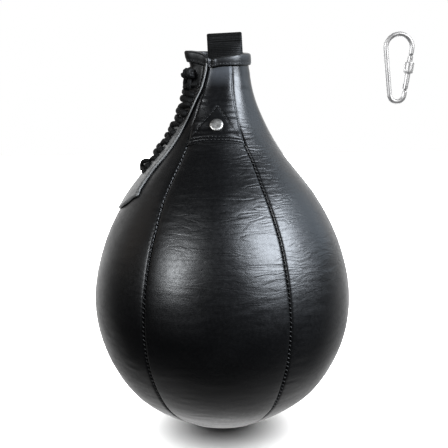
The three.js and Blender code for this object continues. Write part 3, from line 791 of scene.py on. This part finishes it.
RIVET_FACE = PATCH_FACE + GAP
RIVET_HEAD = (
    (5.1, -0.3), (5.45, 0.1), (5.5, 0.6), (5.3, 1.1), (4.85, 1.45), (4.3, 1.62), (3.3, 1.68), (1.8, 1.66),
    (0.001, 1.64),
)
RIVET_SHANK = ((0.001, -6.6), (3.1, -6.6), (3.3, -6.2), (3.2, -5.9), (1.8, -5.8), (1.8, RIVET_FACE - 0.3))
RIVET_PROFILE = [*RIVET_SHANK, *((radius, RIVET_FACE + height) for radius, height in RIVET_HEAD)]
WASHER_PROFILE = ((2.1, -5.7), (4.3, -5.7), (4.5, -5.4), (4.5, -5.1), (4.3, -4.9), (2.1, -4.9))
for side, centre in RIVET_TURNS.items():
    rivet = turned(f"{side}_rivet_head", lathe_points(RIVET_PROFILE, 64))
    put(on_wall(rivet, centre, RIVET_HEIGHT), "bag", "dull_nickel", NICKEL, f"{side}_rivet")
    washer = turned(f"{side}_rivet_back_washer", lathe_points(WASHER_PROFILE, 48), closed=True)
    put(on_wall(washer, centre, RIVET_HEIGHT), "bag", "dull_nickel", NICKEL, f"{side}_rivet_washer")

# ---- lacing facings ----
FACING_FACE = 1.5
FACING_ROW = 3.4  # from a facing's edge to its row of stitches
facing_curve = spline(FACING_EDGE)


def facing_far(run):
    """Distance from the slit to a facing's edge at a run, in mm."""
    order = np.argsort(-facing_curve[:, 0])
    width = np.interp(-height_at(run), -facing_curve[order, 0], facing_curve[order, 1])
    return np.minimum(width, GORE_ANGLE * radius_at(run) - 1)


def facing_grid(rows, columns):
    """Run, distance from the slit, and distance of the far and near edges, over a facing, in mm."""
    across, down = grid(rows, columns)
    steps = np.arange(len(facing_curve))
    edge_height, edge = (np.interp(down * steps[-1], steps, facing_curve[:, k]) for k in range(2))
    top = collar_middle(SLIT) - COLLAR_HEIGHT / 2 - 3 * GAP
    run = run_at(np.minimum(edge_height, top))
    near = np.where(height_at(run) > SLIT_BOTTOM, SLIT_HALF_WIDTH + GAP, GAP / 2)
    far = np.maximum(near + 1, np.minimum(edge, GORE_ANGLE * radius_at(run) - 1))
    aside = near + (far - near) * (0.4 * across + 0.6 * np.sin(across * np.pi / 2))
    return np.broadcast_arrays(run, aside, far, near)


def facing_out(run, aside, far):
    """Height of a facing's face over the wall, in mm: its edge curls up near the neck."""
    to_edge = far - aside
    height = height_at(run)
    curl = 1.3 * (1 - smoothstep(0, 5, to_edge)) * smoothstep(-84, -60, height)
    groove = -0.35 * bump(to_edge - FACING_ROW, 0.8)
    puff = 0.35 * smoothstep(0, 2.2, to_edge) + 0.2 * swells(run / 12, aside / 9)
    return FACING_FACE + curl + groove + puff


def make_facing(side, direction):
    run, aside, far, near = facing_grid(200, 48)
    out = facing_out(run, aside, far)
    rounded = 0.5 * (1 - smoothstep(0, 0.8, np.minimum(far - aside, aside - near)))
    azimuth = SLIT + direction * aside / radius_at(run)
    outer, inner = wall(azimuth, run, out - rounded), wall(azimuth, run, out - OVERLAY + rounded * 0.5)
    if direction < 0:
        outer, inner = outer[:, ::-1], inner[:, ::-1]
    facing = slab(f"lacing_facing_{side}_leather", outer, inner)
    put(facing, "bag", "facing_leather", FACING_LEATHER, f"lacing_facing_{side}")

    edge_run = np.linspace(run_at(-25), run_at(-128), 260)
    edge = facing_far(edge_run)
    edge_turn = SLIT + direction * edge / radius_at(edge_run)
    edge_path = wall(edge_turn, edge_run, facing_out(edge_run, edge, edge) - 0.2)
    piping = sweep_points(edge_path, wall_normal(edge_turn, edge_run), round_section(0.55 * MM, 10))
    piping = joined_tubes(f"lacing_facing_{side}_piping", [piping], sharp=35)
    put(piping, "bag", "facing_leather", PIPING)

    line = np.linspace(run_at(-32), run_at(-143), 400)
    distance = facing_far(line) - FACING_ROW
    line, distance = line[distance > 4], distance[distance > 4]
    outs = facing_out(line, distance, distance + FACING_ROW)
    azimuth = SLIT + direction * distance / radius_at(line)
    sewn = stitch_line(azimuth, line, outs, pitch=3.1, margin=1.5)
    threads = stitches(f"lacing_facing_{side}_thread", *sewn, radius=0.32, rise=0.3)
    put(threads, "bag", "facing_leather", GREY_THREAD)


for side, direction in (("front", 1), ("rear", -1)):
    make_facing(side, direction)

# ---- tongue ----
TONGUE_TOP = -30
TONGUE_BOTTOM = SLIT_BOTTOM - 6
TONGUE_HALF = 14
TONGUE_FACE = -(LEATHER + 0.9)


def make_tongue():
    across, down = grid(60, 24)
    aside = 2 * across - 1
    run = run_at(TONGUE_TOP + (TONGUE_BOTTOM - TONGUE_TOP) * down)
    azimuth = SLIT + TONGUE_HALF * aside * (1 - 0.15 * smoothstep(0.85, 1, down)) / radius_at(run)
    edge = 0.4 * (1 - smoothstep(0, 0.12, 1 - np.abs(aside)))
    face = TONGUE_FACE + np.minimum(0.4 * waves(aside * 2, run / 9), 0.1)
    outer, inner = wall(azimuth, run, face - edge), wall(azimuth, run, face - OVERLAY + edge)
    tongue = slab("lacing_tongue_leather", outer, inner)
    put(tongue, "bag", "black_leather", SMOOTH_LEATHER, "lacing_tongue")


make_tongue()


# ---- collar ----
def collar_shape(azimuth):
    """Extra distance out, how far the strip's top leans out, and its height, round the neck."""
    from_notch = turn_between(azimuth, NOTCH)
    crease = bump(from_notch, 0.06)
    full = bump(from_notch - 0.17, 0.1) + 0.8 * bump(from_notch + 0.16, 0.1)
    slack = 0.35 * swells(azimuth * 2.4 + 3, 4.5)
    stretch = 1.27 - 0.27 * bump(turn_between(azimuth, 0.09), 0.5) - 0.28 * bump(from_notch, 0.3)
    return 0.5 * full - 0.9 * crease + slack, 0.6 * full - 1.2 * crease, stretch


COLLAR_ROW = 1.75  # from the collar's lower edge to its row of stitches
COLLAR_REACH = 26  # about the radius of that row
COLLAR_STITCH_PITCH = 3.0
COLLAR_STITCH_LENGTH = 2.1


def make_collar():
    open_angle = (SLIT_HALF_WIDTH + GAP) / OUTLINE[0][1]
    azimuth = SLIT + np.linspace(open_angle, 2 * np.pi - open_angle, 220)[:, None]
    extra, lean, stretch = collar_shape(azimuth)
    outside, inside = BINDING_GAP + BINDING, -(LEATHER + BINDING_GAP + BINDING)
    top, corner = COLLAR_HEIGHT, 1.7
    arc = np.linspace(0, np.pi / 2, 7)
    start, end = corner * (1 - np.cos(arc)), corner * (1 - np.sin(arc))
    section = np.array([
        (outside, 0.25), (outside + 0.15, 0.9), (outside - 0.05, COLLAR_ROW), (outside + 0.35, 2.8),
        *zip(outside - start, top - end), *zip(inside + end, top - start),
        (inside - 0.2, top - 2.6), (inside - 0.1, 2.5), (inside, 0.3), (inside + BINDING / 2, 0),
        (inside + BINDING, 0.3), (inside + BINDING, top - 2.2), (inside + BINDING + 0.6, top - BINDING),
        (outside - BINDING - 0.6, top - BINDING), (outside - BINDING, top - 2.2), (outside - BINDING, 0.3),
        (outside - BINDING / 2, 0),
    ])
    across, up = section.T
    run = run_at(collar_middle(azimuth) - COLLAR_HEIGHT / 2 + up * stretch)
    points = wall(azimuth, run, across + extra + lean * up / COLLAR_HEIGHT)
    collar = joined_tubes("collar_binding_leather", [points])
    weld(collar)
    put(collar, "bag", "black_leather", COLLAR_LEATHER, "collar_binding")

    margin = open_angle + 0.05
    azimuth = SLIT + np.arange(margin, 2 * np.pi - margin, COLLAR_STITCH_PITCH / COLLAR_REACH)
    half = COLLAR_STITCH_LENGTH / 2 / COLLAR_REACH
    extra, lean, stretch = collar_shape(azimuth)
    run = run_at(collar_middle(azimuth) - COLLAR_HEIGHT / 2 + COLLAR_ROW * stretch)
    out = outside - 0.1 + extra + 0.23 * lean
    starts, ends = (wall(azimuth + turn, run, out) for turn in (-half, half))
    normals = wall_normal(azimuth, run)
    threads = stitches("collar_binding_thread", starts, ends, normals, radius=0.34, rise=0.28)
    put(threads, "bag", "black_leather", DARK_THREAD)


make_collar()


# ---- hanging strap ----
def leg_distance(x, height):
    wall_radius = radius_at(run_at(height)) - STRAP_DEPTH
    blend = smoothstep(-52, -27, height)
    radius = NECK_INSIDE + (wall_radius - NECK_INSIDE) * (1 - blend)
    power = 2 + smoothstep(-80, -35, height)
    flat = (radius ** power - np.minimum(np.abs(x), radius * 0.98) ** power) ** (1 / power)
    close = smoothstep(NECK_BEND_BOTTOM, FOLD_CENTRE, height)
    return flat + (FOLD_RADIUS - flat) * close


LEG_LENGTH = FOLD_CENTRE - STRAP_BOTTOM
RIB_PITCH = 1.6
STRAP_LENGTH = 2 * LEG_LENGTH + math.pi * FOLD_RADIUS


def strap_middle(aside, along):
    """Middle of the webbing, in mm: aside from its centre line, along from the front end."""
    from_end = np.minimum(along, STRAP_LENGTH - along)
    side = np.where(along < STRAP_LENGTH / 2, -1.0, 1.0)
    turn = np.clip((from_end - LEG_LENGTH) / FOLD_RADIUS, 0, np.pi / 2)
    folded = from_end >= LEG_LENGTH
    height = np.where(folded, FOLD_CENTRE + FOLD_RADIUS * np.sin(turn), STRAP_BOTTOM + from_end)
    x = STRAP_OFFSET + aside - height * STRAP_LEAN
    z = height + aside * STRAP_LEAN
    y = np.where(folded, FOLD_RADIUS * np.cos(turn), leg_distance(x, z))
    return np.stack([x, side * y, z], -1)


def make_strap_piece(name, low, high, step):
    """A closed length of ribbed webbing, from one distance along the strap to another."""
    u, v = grid(int((high - low) / step), 57)
    u = 2 * u - 1
    along = low + (high - low) * v + 0 * u
    wave = np.sin(2 * np.pi * along / RIB_PITCH)
    rib = 0.32 * np.abs(np.sin(np.pi * along / RIB_PITCH)) ** 0.7
    yarn = 0.07 * np.cos(2 * np.pi * u * WEBBING_WIDTH / 2 / 1.55)
    selvedge = smoothstep(0.9, 0.94, np.abs(u))
    thick = WEBBING / 2 - 0.26 + (rib + yarn) * (1 - selvedge) + 0.12 * selvedge * (1 + wave)
    rounded = np.clip((np.abs(u) - 0.95) / 0.05, 0, 1)
    thick = (thick * np.sqrt(np.clip(1.001 - rounded ** 2, 0.05, 1)))[..., None]
    aside = u * (WEBBING_WIDTH / 2) * (1 + 0.006 * wave)
    middle = strap_middle(aside, along)
    across = strap_middle(aside + 0.05, along) - strap_middle(aside - 0.05, along)
    ahead = strap_middle(aside, along + 0.05) - strap_middle(aside, along - 0.05)
    out = unit(np.cross(across, ahead))
    outer, inner = middle + out * thick, middle - out * np.minimum(thick, WEBBING / 2 - 0.2)
    piece = slab(name, outer * MM, inner * MM, sharp=70)
    bpy.context.view_layer.update()
    return put(piece, "bag", "webbing", WEB, "hanging_strap")


COLLAR_DEPTH = 17  # the loop piece starts this far down inside the collar
loop_start = LEG_LENGTH + FOLD_CENTRE - COLLAR_DEPTH
loop_end = STRAP_LENGTH - loop_start
loop = make_strap_piece("strap_loop_webbing", loop_start, loop_end, 0.3)
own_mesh(loop)
make_strap_piece("strap_leg_front_webbing", 0, loop_start + 1.0, 0.5)
make_strap_piece("strap_leg_rear_webbing", loop_end - 1.0, STRAP_LENGTH, 0.5)

# ---- lace ----
FACING_TOP = OVERLAY_GAP + OVERLAY  # the facings' outer side, over the wall
LACE_RADIUS = 2.6
LACE_RUNS = np.linspace(run_at(-43), run_at(SLIT_BOTTOM), 15)  # one pass of the lace at each
LACE_REACH_REAR = 9
LACE_REACH_FRONT = ((-112, 14), (-84, 12), (-75, 14), (-67, 18), (-58, 21.5), (-40, 20))
KNOT_HEIGHT = -33
KNOT_ASIDE = 9.5
KNOT_COILS = 2.4
KNOT_RADIUS = 2.2
KNOT_LENGTH = 9.0


def lace_reach(height, direction):
    """How far the lace goes from the slit on one side: it piles up over the front facing at the neck."""
    if direction < 0:
        return LACE_REACH_REAR
    return float(np.interp(height, *zip(*LACE_REACH_FRONT)))


def cord(path, up, radius, flat=0.86, sides=18):
    """A braided cord along a path given in mm, as points in metres."""
    distance = length_along(path)[:, None]
    turn, twist = circle(sides), 2 * distance * 2 * np.pi / 9.0
    strand = np.abs(np.sin(3 * turn + twist)) * np.abs(np.sin(3 * turn - twist))
    reach = np.broadcast_to(radius, len(path))[:, None] * (0.9 + 0.16 * strand)
    section = np.stack([reach * np.cos(turn), reach * flat * np.sin(turn)], -1)
    return sweep_points(path, up, section) * MM


def make_lace():
    pitch = LACE_RUNS[1] - LACE_RUNS[0]
    base_out = FACING_TOP + 0.2
    t = np.linspace(-1, 1, 64)
    passes = []
    for turn, middle_run in enumerate(LACE_RUNS):
        lean = 0.35 if turn % 3 else -0.3
        run = middle_run + lean * pitch * t + 0.5 * swells(turn * 1.7, t)
        rear, front = (lace_reach(height_at(middle_run), direction) for direction in (-1, 1))
        aside = -rear + (rear + front) * (t + 1) / 2
        dive = smoothstep(0.8, 1.0, np.abs(t))
        arch = 0.5 * (1 - t * t) + 0.9 * waves(turn * 3.1 + 7, 2.5 + 1.5 * t)
        out = base_out + arch - dive * (base_out + 0.6)
        path = wall(SLIT + aside / (radius_at(run) + out), run, out) / MM
        up = wall_normal(SLIT + aside / radius_at(run), run)
        passes.append(cord(path, up, LACE_RADIUS * (1.03 + 0.2 * waves(turn * 5.3, 1.5))))
    put(joined_tubes("lace_cord", passes), "bag", "lace_cord", CORD, "lace")


make_lace()


def make_eyelets():
    """Rolled rims where the lace goes through the facings."""
    turn, around = circle(12)[:, None], circle(28)[:, None]
    rings = []
    for run in LACE_RUNS:
        for direction in (-1, 1):
            reach = lace_reach(height_at(run), direction) - 0.2
            azimuth = SLIT + direction * reach / radius_at(run)
            centre = wall(azimuth, run, facing_out(run, reach, facing_far(run)) + 0.1) / MM
            normal, along = wall_normal(azimuth, run), down_the_wall(azimuth, run)
            spoke = along * np.cos(around) + np.cross(along, normal) * np.sin(around)
            ring = centre + spoke[:, None] * (1.75 + 0.4 * np.cos(turn)) + normal * 0.4 * np.sin(turn)
            rings.append(np.concatenate([ring, ring[:1]]) * MM)
    rims = joined_tubes("lace_eyelet_rims", rings, capped=False)
    weld(rims)
    put(rims, "bag", "facing_leather", DARK_METAL)


make_eyelets()


def make_knot():
    """The lace ends in a barrel of coils lying across its top, with two short ends tucked down."""
    run = run_at(KNOT_HEIGHT)
    azimuth = SLIT + KNOT_ASIDE / radius_at(run)
    centre = wall(azimuth, run, FACING_TOP + 3.6) / MM
    normal, down = wall_normal(azimuth, run), down_the_wall(azimuth, run)
    side = np.cross(normal, down)
    t = np.linspace(0, 1, 200)[:, None]
    turn = 2 * np.pi * KNOT_COILS * t
    coil_up = normal * np.cos(turn) + down * np.sin(turn)
    radius = KNOT_RADIUS * (1 - 0.16 * np.cos(2 * np.pi * t))
    coil = centre + side * KNOT_LENGTH * (t - 0.5) + radius * coil_up
    t = t[::5]
    core = centre + side * (KNOT_LENGTH + 4) * (t - 0.5) + normal * 0.3
    cords = [cord(coil, coil_up, 2.5, 0.95, 16)]
    cords.append(cord(core, normal, 2.3 * np.sqrt(1 - 0.95 * (2 * t[:, 0] - 1) ** 4), 0.95, 16))
    t = np.linspace(0, 1, 40)
    run = run_at(KNOT_HEIGHT - 3) + 9 * t
    out = FACING_TOP + 2.2 + 0.8 * np.sin(np.pi * t) - 1.2 * t
    for sign in (-1, 1):
        aside = KNOT_ASIDE - 1 + sign * (3.2 + 1.6 * np.sin(np.pi * t * 0.8))
        tail = wall(SLIT + aside / (radius_at(run) + out), run, out) / MM
        cords.append(cord(tail, wall_normal(SLIT, run), 1.9, 0.95, 16))
    put(joined_tubes("lace_knot_cord", cords), "bag", "lace_cord", CORD, "lace_knot")


make_knot()


def make_lace_end():
    """The lace's lower end stands off the facing and hooks back down to it."""
    t = np.linspace(0, 1, 60)
    run = run_at(-106) + 9.5 * t ** 1.4
    aside = 7.5 - 11.5 * t ** 0.8
    out = FACING_TOP + 1.4 + 3.2 * np.sin(np.pi * 0.95 * t) ** 1.3
    path = wall(SLIT + aside / (radius_at(run) + out), run, out) / MM
    end = joined_tubes("lace_lower_end", [cord(path, wall_normal(SLIT, run), 2.1, 0.9, 16)])
    put(end, "bag", "lace_cord", CORD, "lace")


make_lace_end()


# ---- bladder ----
def make_bladder():
    depth, rubber_wall, mouth = 4.6, 1.2, 3.0

    def layer(inset):
        runs = np.linspace(run_at(-112), RUNS[-1], 60)
        down, away = slope_at(runs)
        radius = np.maximum(radius_at(runs) + inset * down, 0.001)
        height = height_at(runs) - inset * away
        body = list(zip(radius[::-1], height[::-1]))
        shoulder = spline([body[-1], (50 - inset, -104 - inset), (30, -97 - inset), (11, -94.5 - inset)], 8)
        return body + [tuple(p) for p in shoulder[1:]]

    outer, inner = layer(depth), layer(depth + rubber_wall)
    neck = [
        (mouth + rubber_wall, -98), (mouth + rubber_wall, -92), (mouth + rubber_wall + 0.7, -91.5),
        (mouth + rubber_wall + 0.7, -90.9), (mouth, -90.8), (mouth, -98 - rubber_wall),
    ]
    bladder = turned("bladder_rubber_shell", lathe_points(outer + neck + inner[::-1], 96))
    put(bladder, "bag", "bladder_rubber", RUBBER, "bladder")
    valve = (
        (0.9, -97), (2.7, -97), (2.7, -90.7), (4.2, -90.6), (4.6, -90.2), (4.5, -89.7), (3.6, -89.2),
        (2.6, -88.6), (2.4, -88), (2.0, -87.8), (0.9, -87.8),
    )
    plug = turned("bladder_valve_plug", lathe_points(valve, 48), closed=True)
    put(plug, "bag", "bladder_rubber", RUBBER, "bladder_valve")


make_bladder()

# ---- carabiner ----
CARABINER_AT = np.array([150.8, 0, -11.5])
CARABINER_LENGTH = 60
ROD_RADIUS = 2.1
WIDE_RADIUS = 11
NARROW_RADIUS = 6.2
NARROW_SHIFT = -0.8
GATE_TOP = 6
GATE_RADIUS = 2.3
NOSE_FACE = GATE_TOP - 0.4
HINGE_PIN_AT = 31.6
HINGE_FACE = HINGE_PIN_AT + 3
SLEEVE_TOP = 10.6
SLEEVE_LENGTH = 9.4
centre_distance = CARABINER_LENGTH - WIDE_RADIUS - NARROW_RADIUS - 2 * ROD_RADIUS
narrow_centre = np.array([NARROW_SHIFT, 0, -centre_distance])
tangent_tilt = math.asin((WIDE_RADIUS - NARROW_RADIUS) / np.linalg.norm(narrow_centre))
axis_tilt = math.atan2(-NARROW_SHIFT, centre_distance)
RIGHT = -tangent_tilt - axis_tilt
LEFT = math.pi + tangent_tilt - axis_tilt
gate_normal = np.array([math.cos(RIGHT), 0, math.sin(RIGHT)])
gate_down = np.array([math.sin(RIGHT), 0, -math.cos(RIGHT)])


def on_gate_line(distance):
    return gate_normal * WIDE_RADIUS + gate_down * distance


def arc_points(centre, radius, start, end, steps):
    turn = np.linspace(start, end, steps)[:, None]
    return centre + radius * np.hstack([np.cos(turn), 0 * turn, np.sin(turn)])


def straight(start, end, steps):
    t = np.linspace(0, 1, steps)[:, None]
    return start + (end - start) * t


def gate_axis_matrix(distance):
    """Takes a piece made round +Z to the gate line, with +Z pointing up along it."""
    up = Vector(-gate_down)
    turn = Vector((0, 0, 1)).rotation_difference(up).to_matrix().to_4x4()
    at = Vector((on_gate_line(distance) + CARABINER_AT) * MM)
    return Matrix.Translation(at) @ turn


def make_hook():
    wide = arc_points(np.zeros(3), WIDE_RADIUS, RIGHT, LEFT, 60)
    narrow = arc_points(narrow_centre, NARROW_RADIUS, LEFT, RIGHT + 2 * math.pi, 50)
    nose = straight(on_gate_line(NOSE_FACE - 0.5), on_gate_line(0), 8)
    left_side = straight(wide[-1], narrow[0], 30)
    right_side = straight(narrow[-1], on_gate_line(HINGE_FACE), 8)
    path = np.vstack([nose[:-1], wide[:-1], left_side[:-1], narrow[:-1], right_side]) + CARABINER_AT
    distance = length_along(path)
    from_end = np.minimum(distance, distance[-1] - distance)
    radius = ROD_RADIUS * (0.7 + 0.3 * smoothstep(0, 0.8, from_end))[:, None]
    rod = sweep_points(path, (0, 1, 0), round_section(radius, 24))
    hook = joined_tubes("carabiner_rod", [rod * MM], sharp=50)
    made = bmesh.new()
    made.from_mesh(hook.data)
    for low, high, wide_x, at in ((-4.2, 0.6, 3.0, NOSE_FACE), (-0.6, 4.6, 2.6, HINGE_FACE)):
        block = bmesh.ops.create_cube(made, size=1.0)["verts"]
        size = Matrix.Diagonal((wide_x * MM, 2 * MM, (high - low) * MM, 1))
        shift = Matrix.Translation((0, 0, (low + high) / 2 * MM))
        bmesh.ops.transform(made, matrix=gate_axis_matrix(at) @ shift @ size, verts=block)
        edges = {e for v in block for e in v.link_edges}
        bmesh.ops.bevel(made, geom=list(edges), offset=0.35 * MM, segments=3, affect="EDGES")
    made.to_mesh(hook.data)
    made.free()
    hook.data.polygons.foreach_set("use_smooth", [True] * len(hook.data.polygons))
    hook.data.set_sharp_from_angle(angle=math.radians(50))
    return put(hook, "carabiner", "zinc_steel", ZINC, "carabiner_hook")


carabiner_pieces = [make_hook()]


def make_sleeve():
    """A knurled sleeve: fine flutes round the middle between two plain chamfered bands."""
    heights = [0, 0.35, 0.7, 1.1, 1.3, 2.2, 3.4, 4.7, 6.0, 7.2, 8.1, 8.3, 8.7, 9.05, SLEEVE_LENGTH]
    band = [3.35, 3.8, 4.05, 4.1]
    bore = GATE_RADIUS + GAP
    profile = [(bore, 0), *zip(band + [3.95] * 7 + band[::-1], heights), (bore, SLEEVE_LENGTH)]
    segments = 144
    rings = lathe_points(profile, segments)
    flutes = np.where(np.sin(24 * circle(segments)) > 0, 1.036, 0.9856)
    rings[6:12, :, :2] *= flutes[:, None]  # only the narrow middle of the profile is cut
    sleeve = turned("screw_sleeve_knurled", rings, closed=True, sharp=30)
    sleeve.data.transform(gate_axis_matrix(SLEEVE_TOP + SLEEVE_LENGTH))
    return put(sleeve, "sleeve", "zinc_steel", ZINC, "screw_sleeve")


carabiner_pieces.append(make_sleeve())


def make_gate_thread():
    """The screw thread on the gate's upper half, a fine helical ridge."""
    turns, pitch = 13, 0.75
    t = np.linspace(0, 1, turns * 36)
    angle = 2 * np.pi * turns * t
    height = -9.6 + turns * pitch * t
    path = np.stack([2.28 * np.cos(angle), 2.28 * np.sin(angle), height], -1)
    outward = np.stack([np.cos(angle), np.sin(angle), 0 * angle], -1)
    taper = np.clip(np.minimum(t, 1 - t) * 30, 0.15, 1)
    section = round_section(1, 6) * np.stack([0.24 + 0 * t, 0.26 * taper], -1)[:, None]
    ridge = joined_tubes("gate_thread_ridge", [sweep_points(path, outward, section) * MM], sharp=50)
    ridge.data.transform(gate_axis_matrix(GATE_TOP + 5.4))
    return put(ridge, "gate", "zinc_steel", ZINC)


carabiner_pieces.append(make_gate_thread())

for node, metal in (
    ("carabiner_gate", ZINC), ("gate_nose_pin", ZINC), ("gate_hinge_pin", ZINC), ("gate_spring", SPRING)
):
    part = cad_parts[node]
    part.data.materials.clear()
    part.data.materials.append(metal)
    carabiner_pieces.append(part)

# ---- floor, lights and camera ----
FLOOR_Z = -0.3425
FLOOR_REACH = 6.0


def make_floor():
    points = [(x * FLOOR_REACH, y * FLOOR_REACH, FLOOR_Z) for x, y in ((-1, -1), (1, -1), (1, 1), (-1, 1))]
    floor = make_mesh("studio_floor", points, [[0, 1, 2, 3]])
    n = Nodes("studio_white", Roughness=0.9, Specular_IOR_Level=0.1)
    n.shader.inputs["Base Color"].default_value = (0.9, 0.9, 0.9, 1)
    floor.data.materials.append(n.material)
    floor.visible_glossy = False
    floor.visible_diffuse = False
    return floor


def receivers(name, objects, state="INCLUDE"):
    """What a light falls on: only these objects, or all but these."""
    collection = bpy.data.collections.new(name)
    for obj in objects:
        collection.objects.link(obj)
    for entry in collection.collection_objects:
        entry.light_linking.link_state = state
    return collection


floor = make_floor()
ONLY_FLOOR = receivers("only_floor", [floor])
ONLY_CARABINER = receivers("only_carabiner", carabiner_pieces)
NOT_FLOOR = receivers("not_floor", [floor], "EXCLUDE")
ONLY_BAG = receivers("only_bag", [floor, *carabiner_pieces], "EXCLUDE")


LIGHT_DISTANCE = 1.6
LIT_POINT = Vector((0, 0, -0.2))  # the bag's middle


def add_light(name, kind, energy, lit, **settings):
    data = bpy.data.lights.new(name, kind)
    data.energy = energy
    for key, value in settings.items():
        setattr(data, key, value)
    light = add(name, data)
    light.light_linking.receiver_collection = lit
    return light


def area_light(name, azimuth, elevation, width, height, energy, colour=(1, 1, 1), lit=ONLY_BAG):
    """A soft box that faces the bag's middle, from an azimuth measured like the bag's."""
    light = add_light(name, "AREA", energy, lit, shape="RECTANGLE", size=width, size_y=height, color=colour)
    a, e = math.radians(azimuth), math.radians(elevation)
    away = Vector((math.sin(a) * math.cos(e), -math.cos(a) * math.cos(e), math.sin(e)))
    light.location = LIT_POINT + away * LIGHT_DISTANCE
    light.rotation_mode = "QUATERNION"
    light.rotation_quaternion = away.to_track_quat("Z", "Y")
    light.visible_camera = False


area_light("soft_right", 57, 31, 1.4, 0.9, 93, (0.94, 1.0, 1.08))
area_light("soft_left", -43, 22, 0.4, 0.5, 22, (0.97, 1.0, 1.03))
area_light("side_left", -95, 25, 0.7, 0.9, 1.0, (1.15, 1.0, 0.88))
area_light("side_right", 110, 28, 0.9, 1.1, 4.5, (0.8, 0.97, 1.15))
area_light("carabiner_right", 50, 30, 1.4, 1.0, 19, lit=ONLY_CARABINER)
area_light("carabiner_left", -50, 20, 1.4, 1.0, 16, lit=ONLY_CARABINER)


def overhead_light(name, energy, angle, lit):
    """A broad even light from above, which the gloss doesn't show."""
    add_light(name, "SUN", energy, lit, angle=math.radians(angle)).visible_glossy = False


overhead_light("overhead", 1.6, 150, NOT_FLOOR)
overhead_light("overhead_floor", 11, 124, ONLY_FLOOR)


def make_world():
    """White to the camera; for reflections, bright behind and at the sides, dim in front and below."""
    world = bpy.data.worlds.new("studio")
    world.use_nodes = True
    bpy.context.scene.world = world
    n = Tree(world.node_tree)
    n.tree.nodes.clear()
    look = n.axes(n.new("ShaderNodeTexCoord").outputs["Generated"])

    def ramp(axis, low, high, to_low, to_high):
        return n.range(look[axis], low, high, to_low, to_high, "SMOOTHSTEP")

    sides = n.math("MULTIPLY", ramp("Y", 0.1, 1.0, 0.012, 1.7), ramp("Z", -0.9, 0.3, 1.2, 1.35))
    below = n.math("MULTIPLY", ramp("Z", -0.6, -0.92, 0.0, 1.0), ramp("Y", -0.6, 0.4, 0.0, 1.9))
    dim = n.new("ShaderNodeBackground", Strength=n.math("ADD", sides, below))
    white = n.new("ShaderNodeBackground", Color=(1, 1, 1, 1))
    mix = n.new("ShaderNodeMixShader", Fac=n.new("ShaderNodeLightPath").outputs["Is Camera Ray"])
    n.link(dim.outputs[0], mix.inputs[1])
    n.link(white.outputs[0], mix.inputs[2])
    n.new("ShaderNodeOutputWorld", Surface=mix.outputs[0])


make_world()
bpy.context.scene.view_settings.view_transform = "Standard"
bpy.context.scene.view_settings.look = "None"
bpy.context.scene.view_settings.gamma = 0.8


CAMERA_TARGET = Vector((0.0021, 0, -0.1598))
CAMERA_DISTANCE = 0.5805
CAMERA_ELEVATION = math.radians(8.32)
CAMERA_ROLL = math.radians(-0.65)
CAMERA_LENS = 53.44


def make_camera():
    data = bpy.data.cameras.new("camera")
    data.sensor_width = 36
    data.lens = CAMERA_LENS
    camera = add("camera", data)
    back = Vector((0, -math.cos(CAMERA_ELEVATION), math.sin(CAMERA_ELEVATION)))
    camera.location = CAMERA_TARGET + back * CAMERA_DISTANCE
    camera.rotation_mode = "QUATERNION"
    roll = Matrix.Rotation(CAMERA_ROLL, 3, "Z").to_quaternion()
    camera.rotation_quaternion = back.to_track_quat("Z", "Y") @ roll
    bpy.context.scene.camera = camera


make_camera()
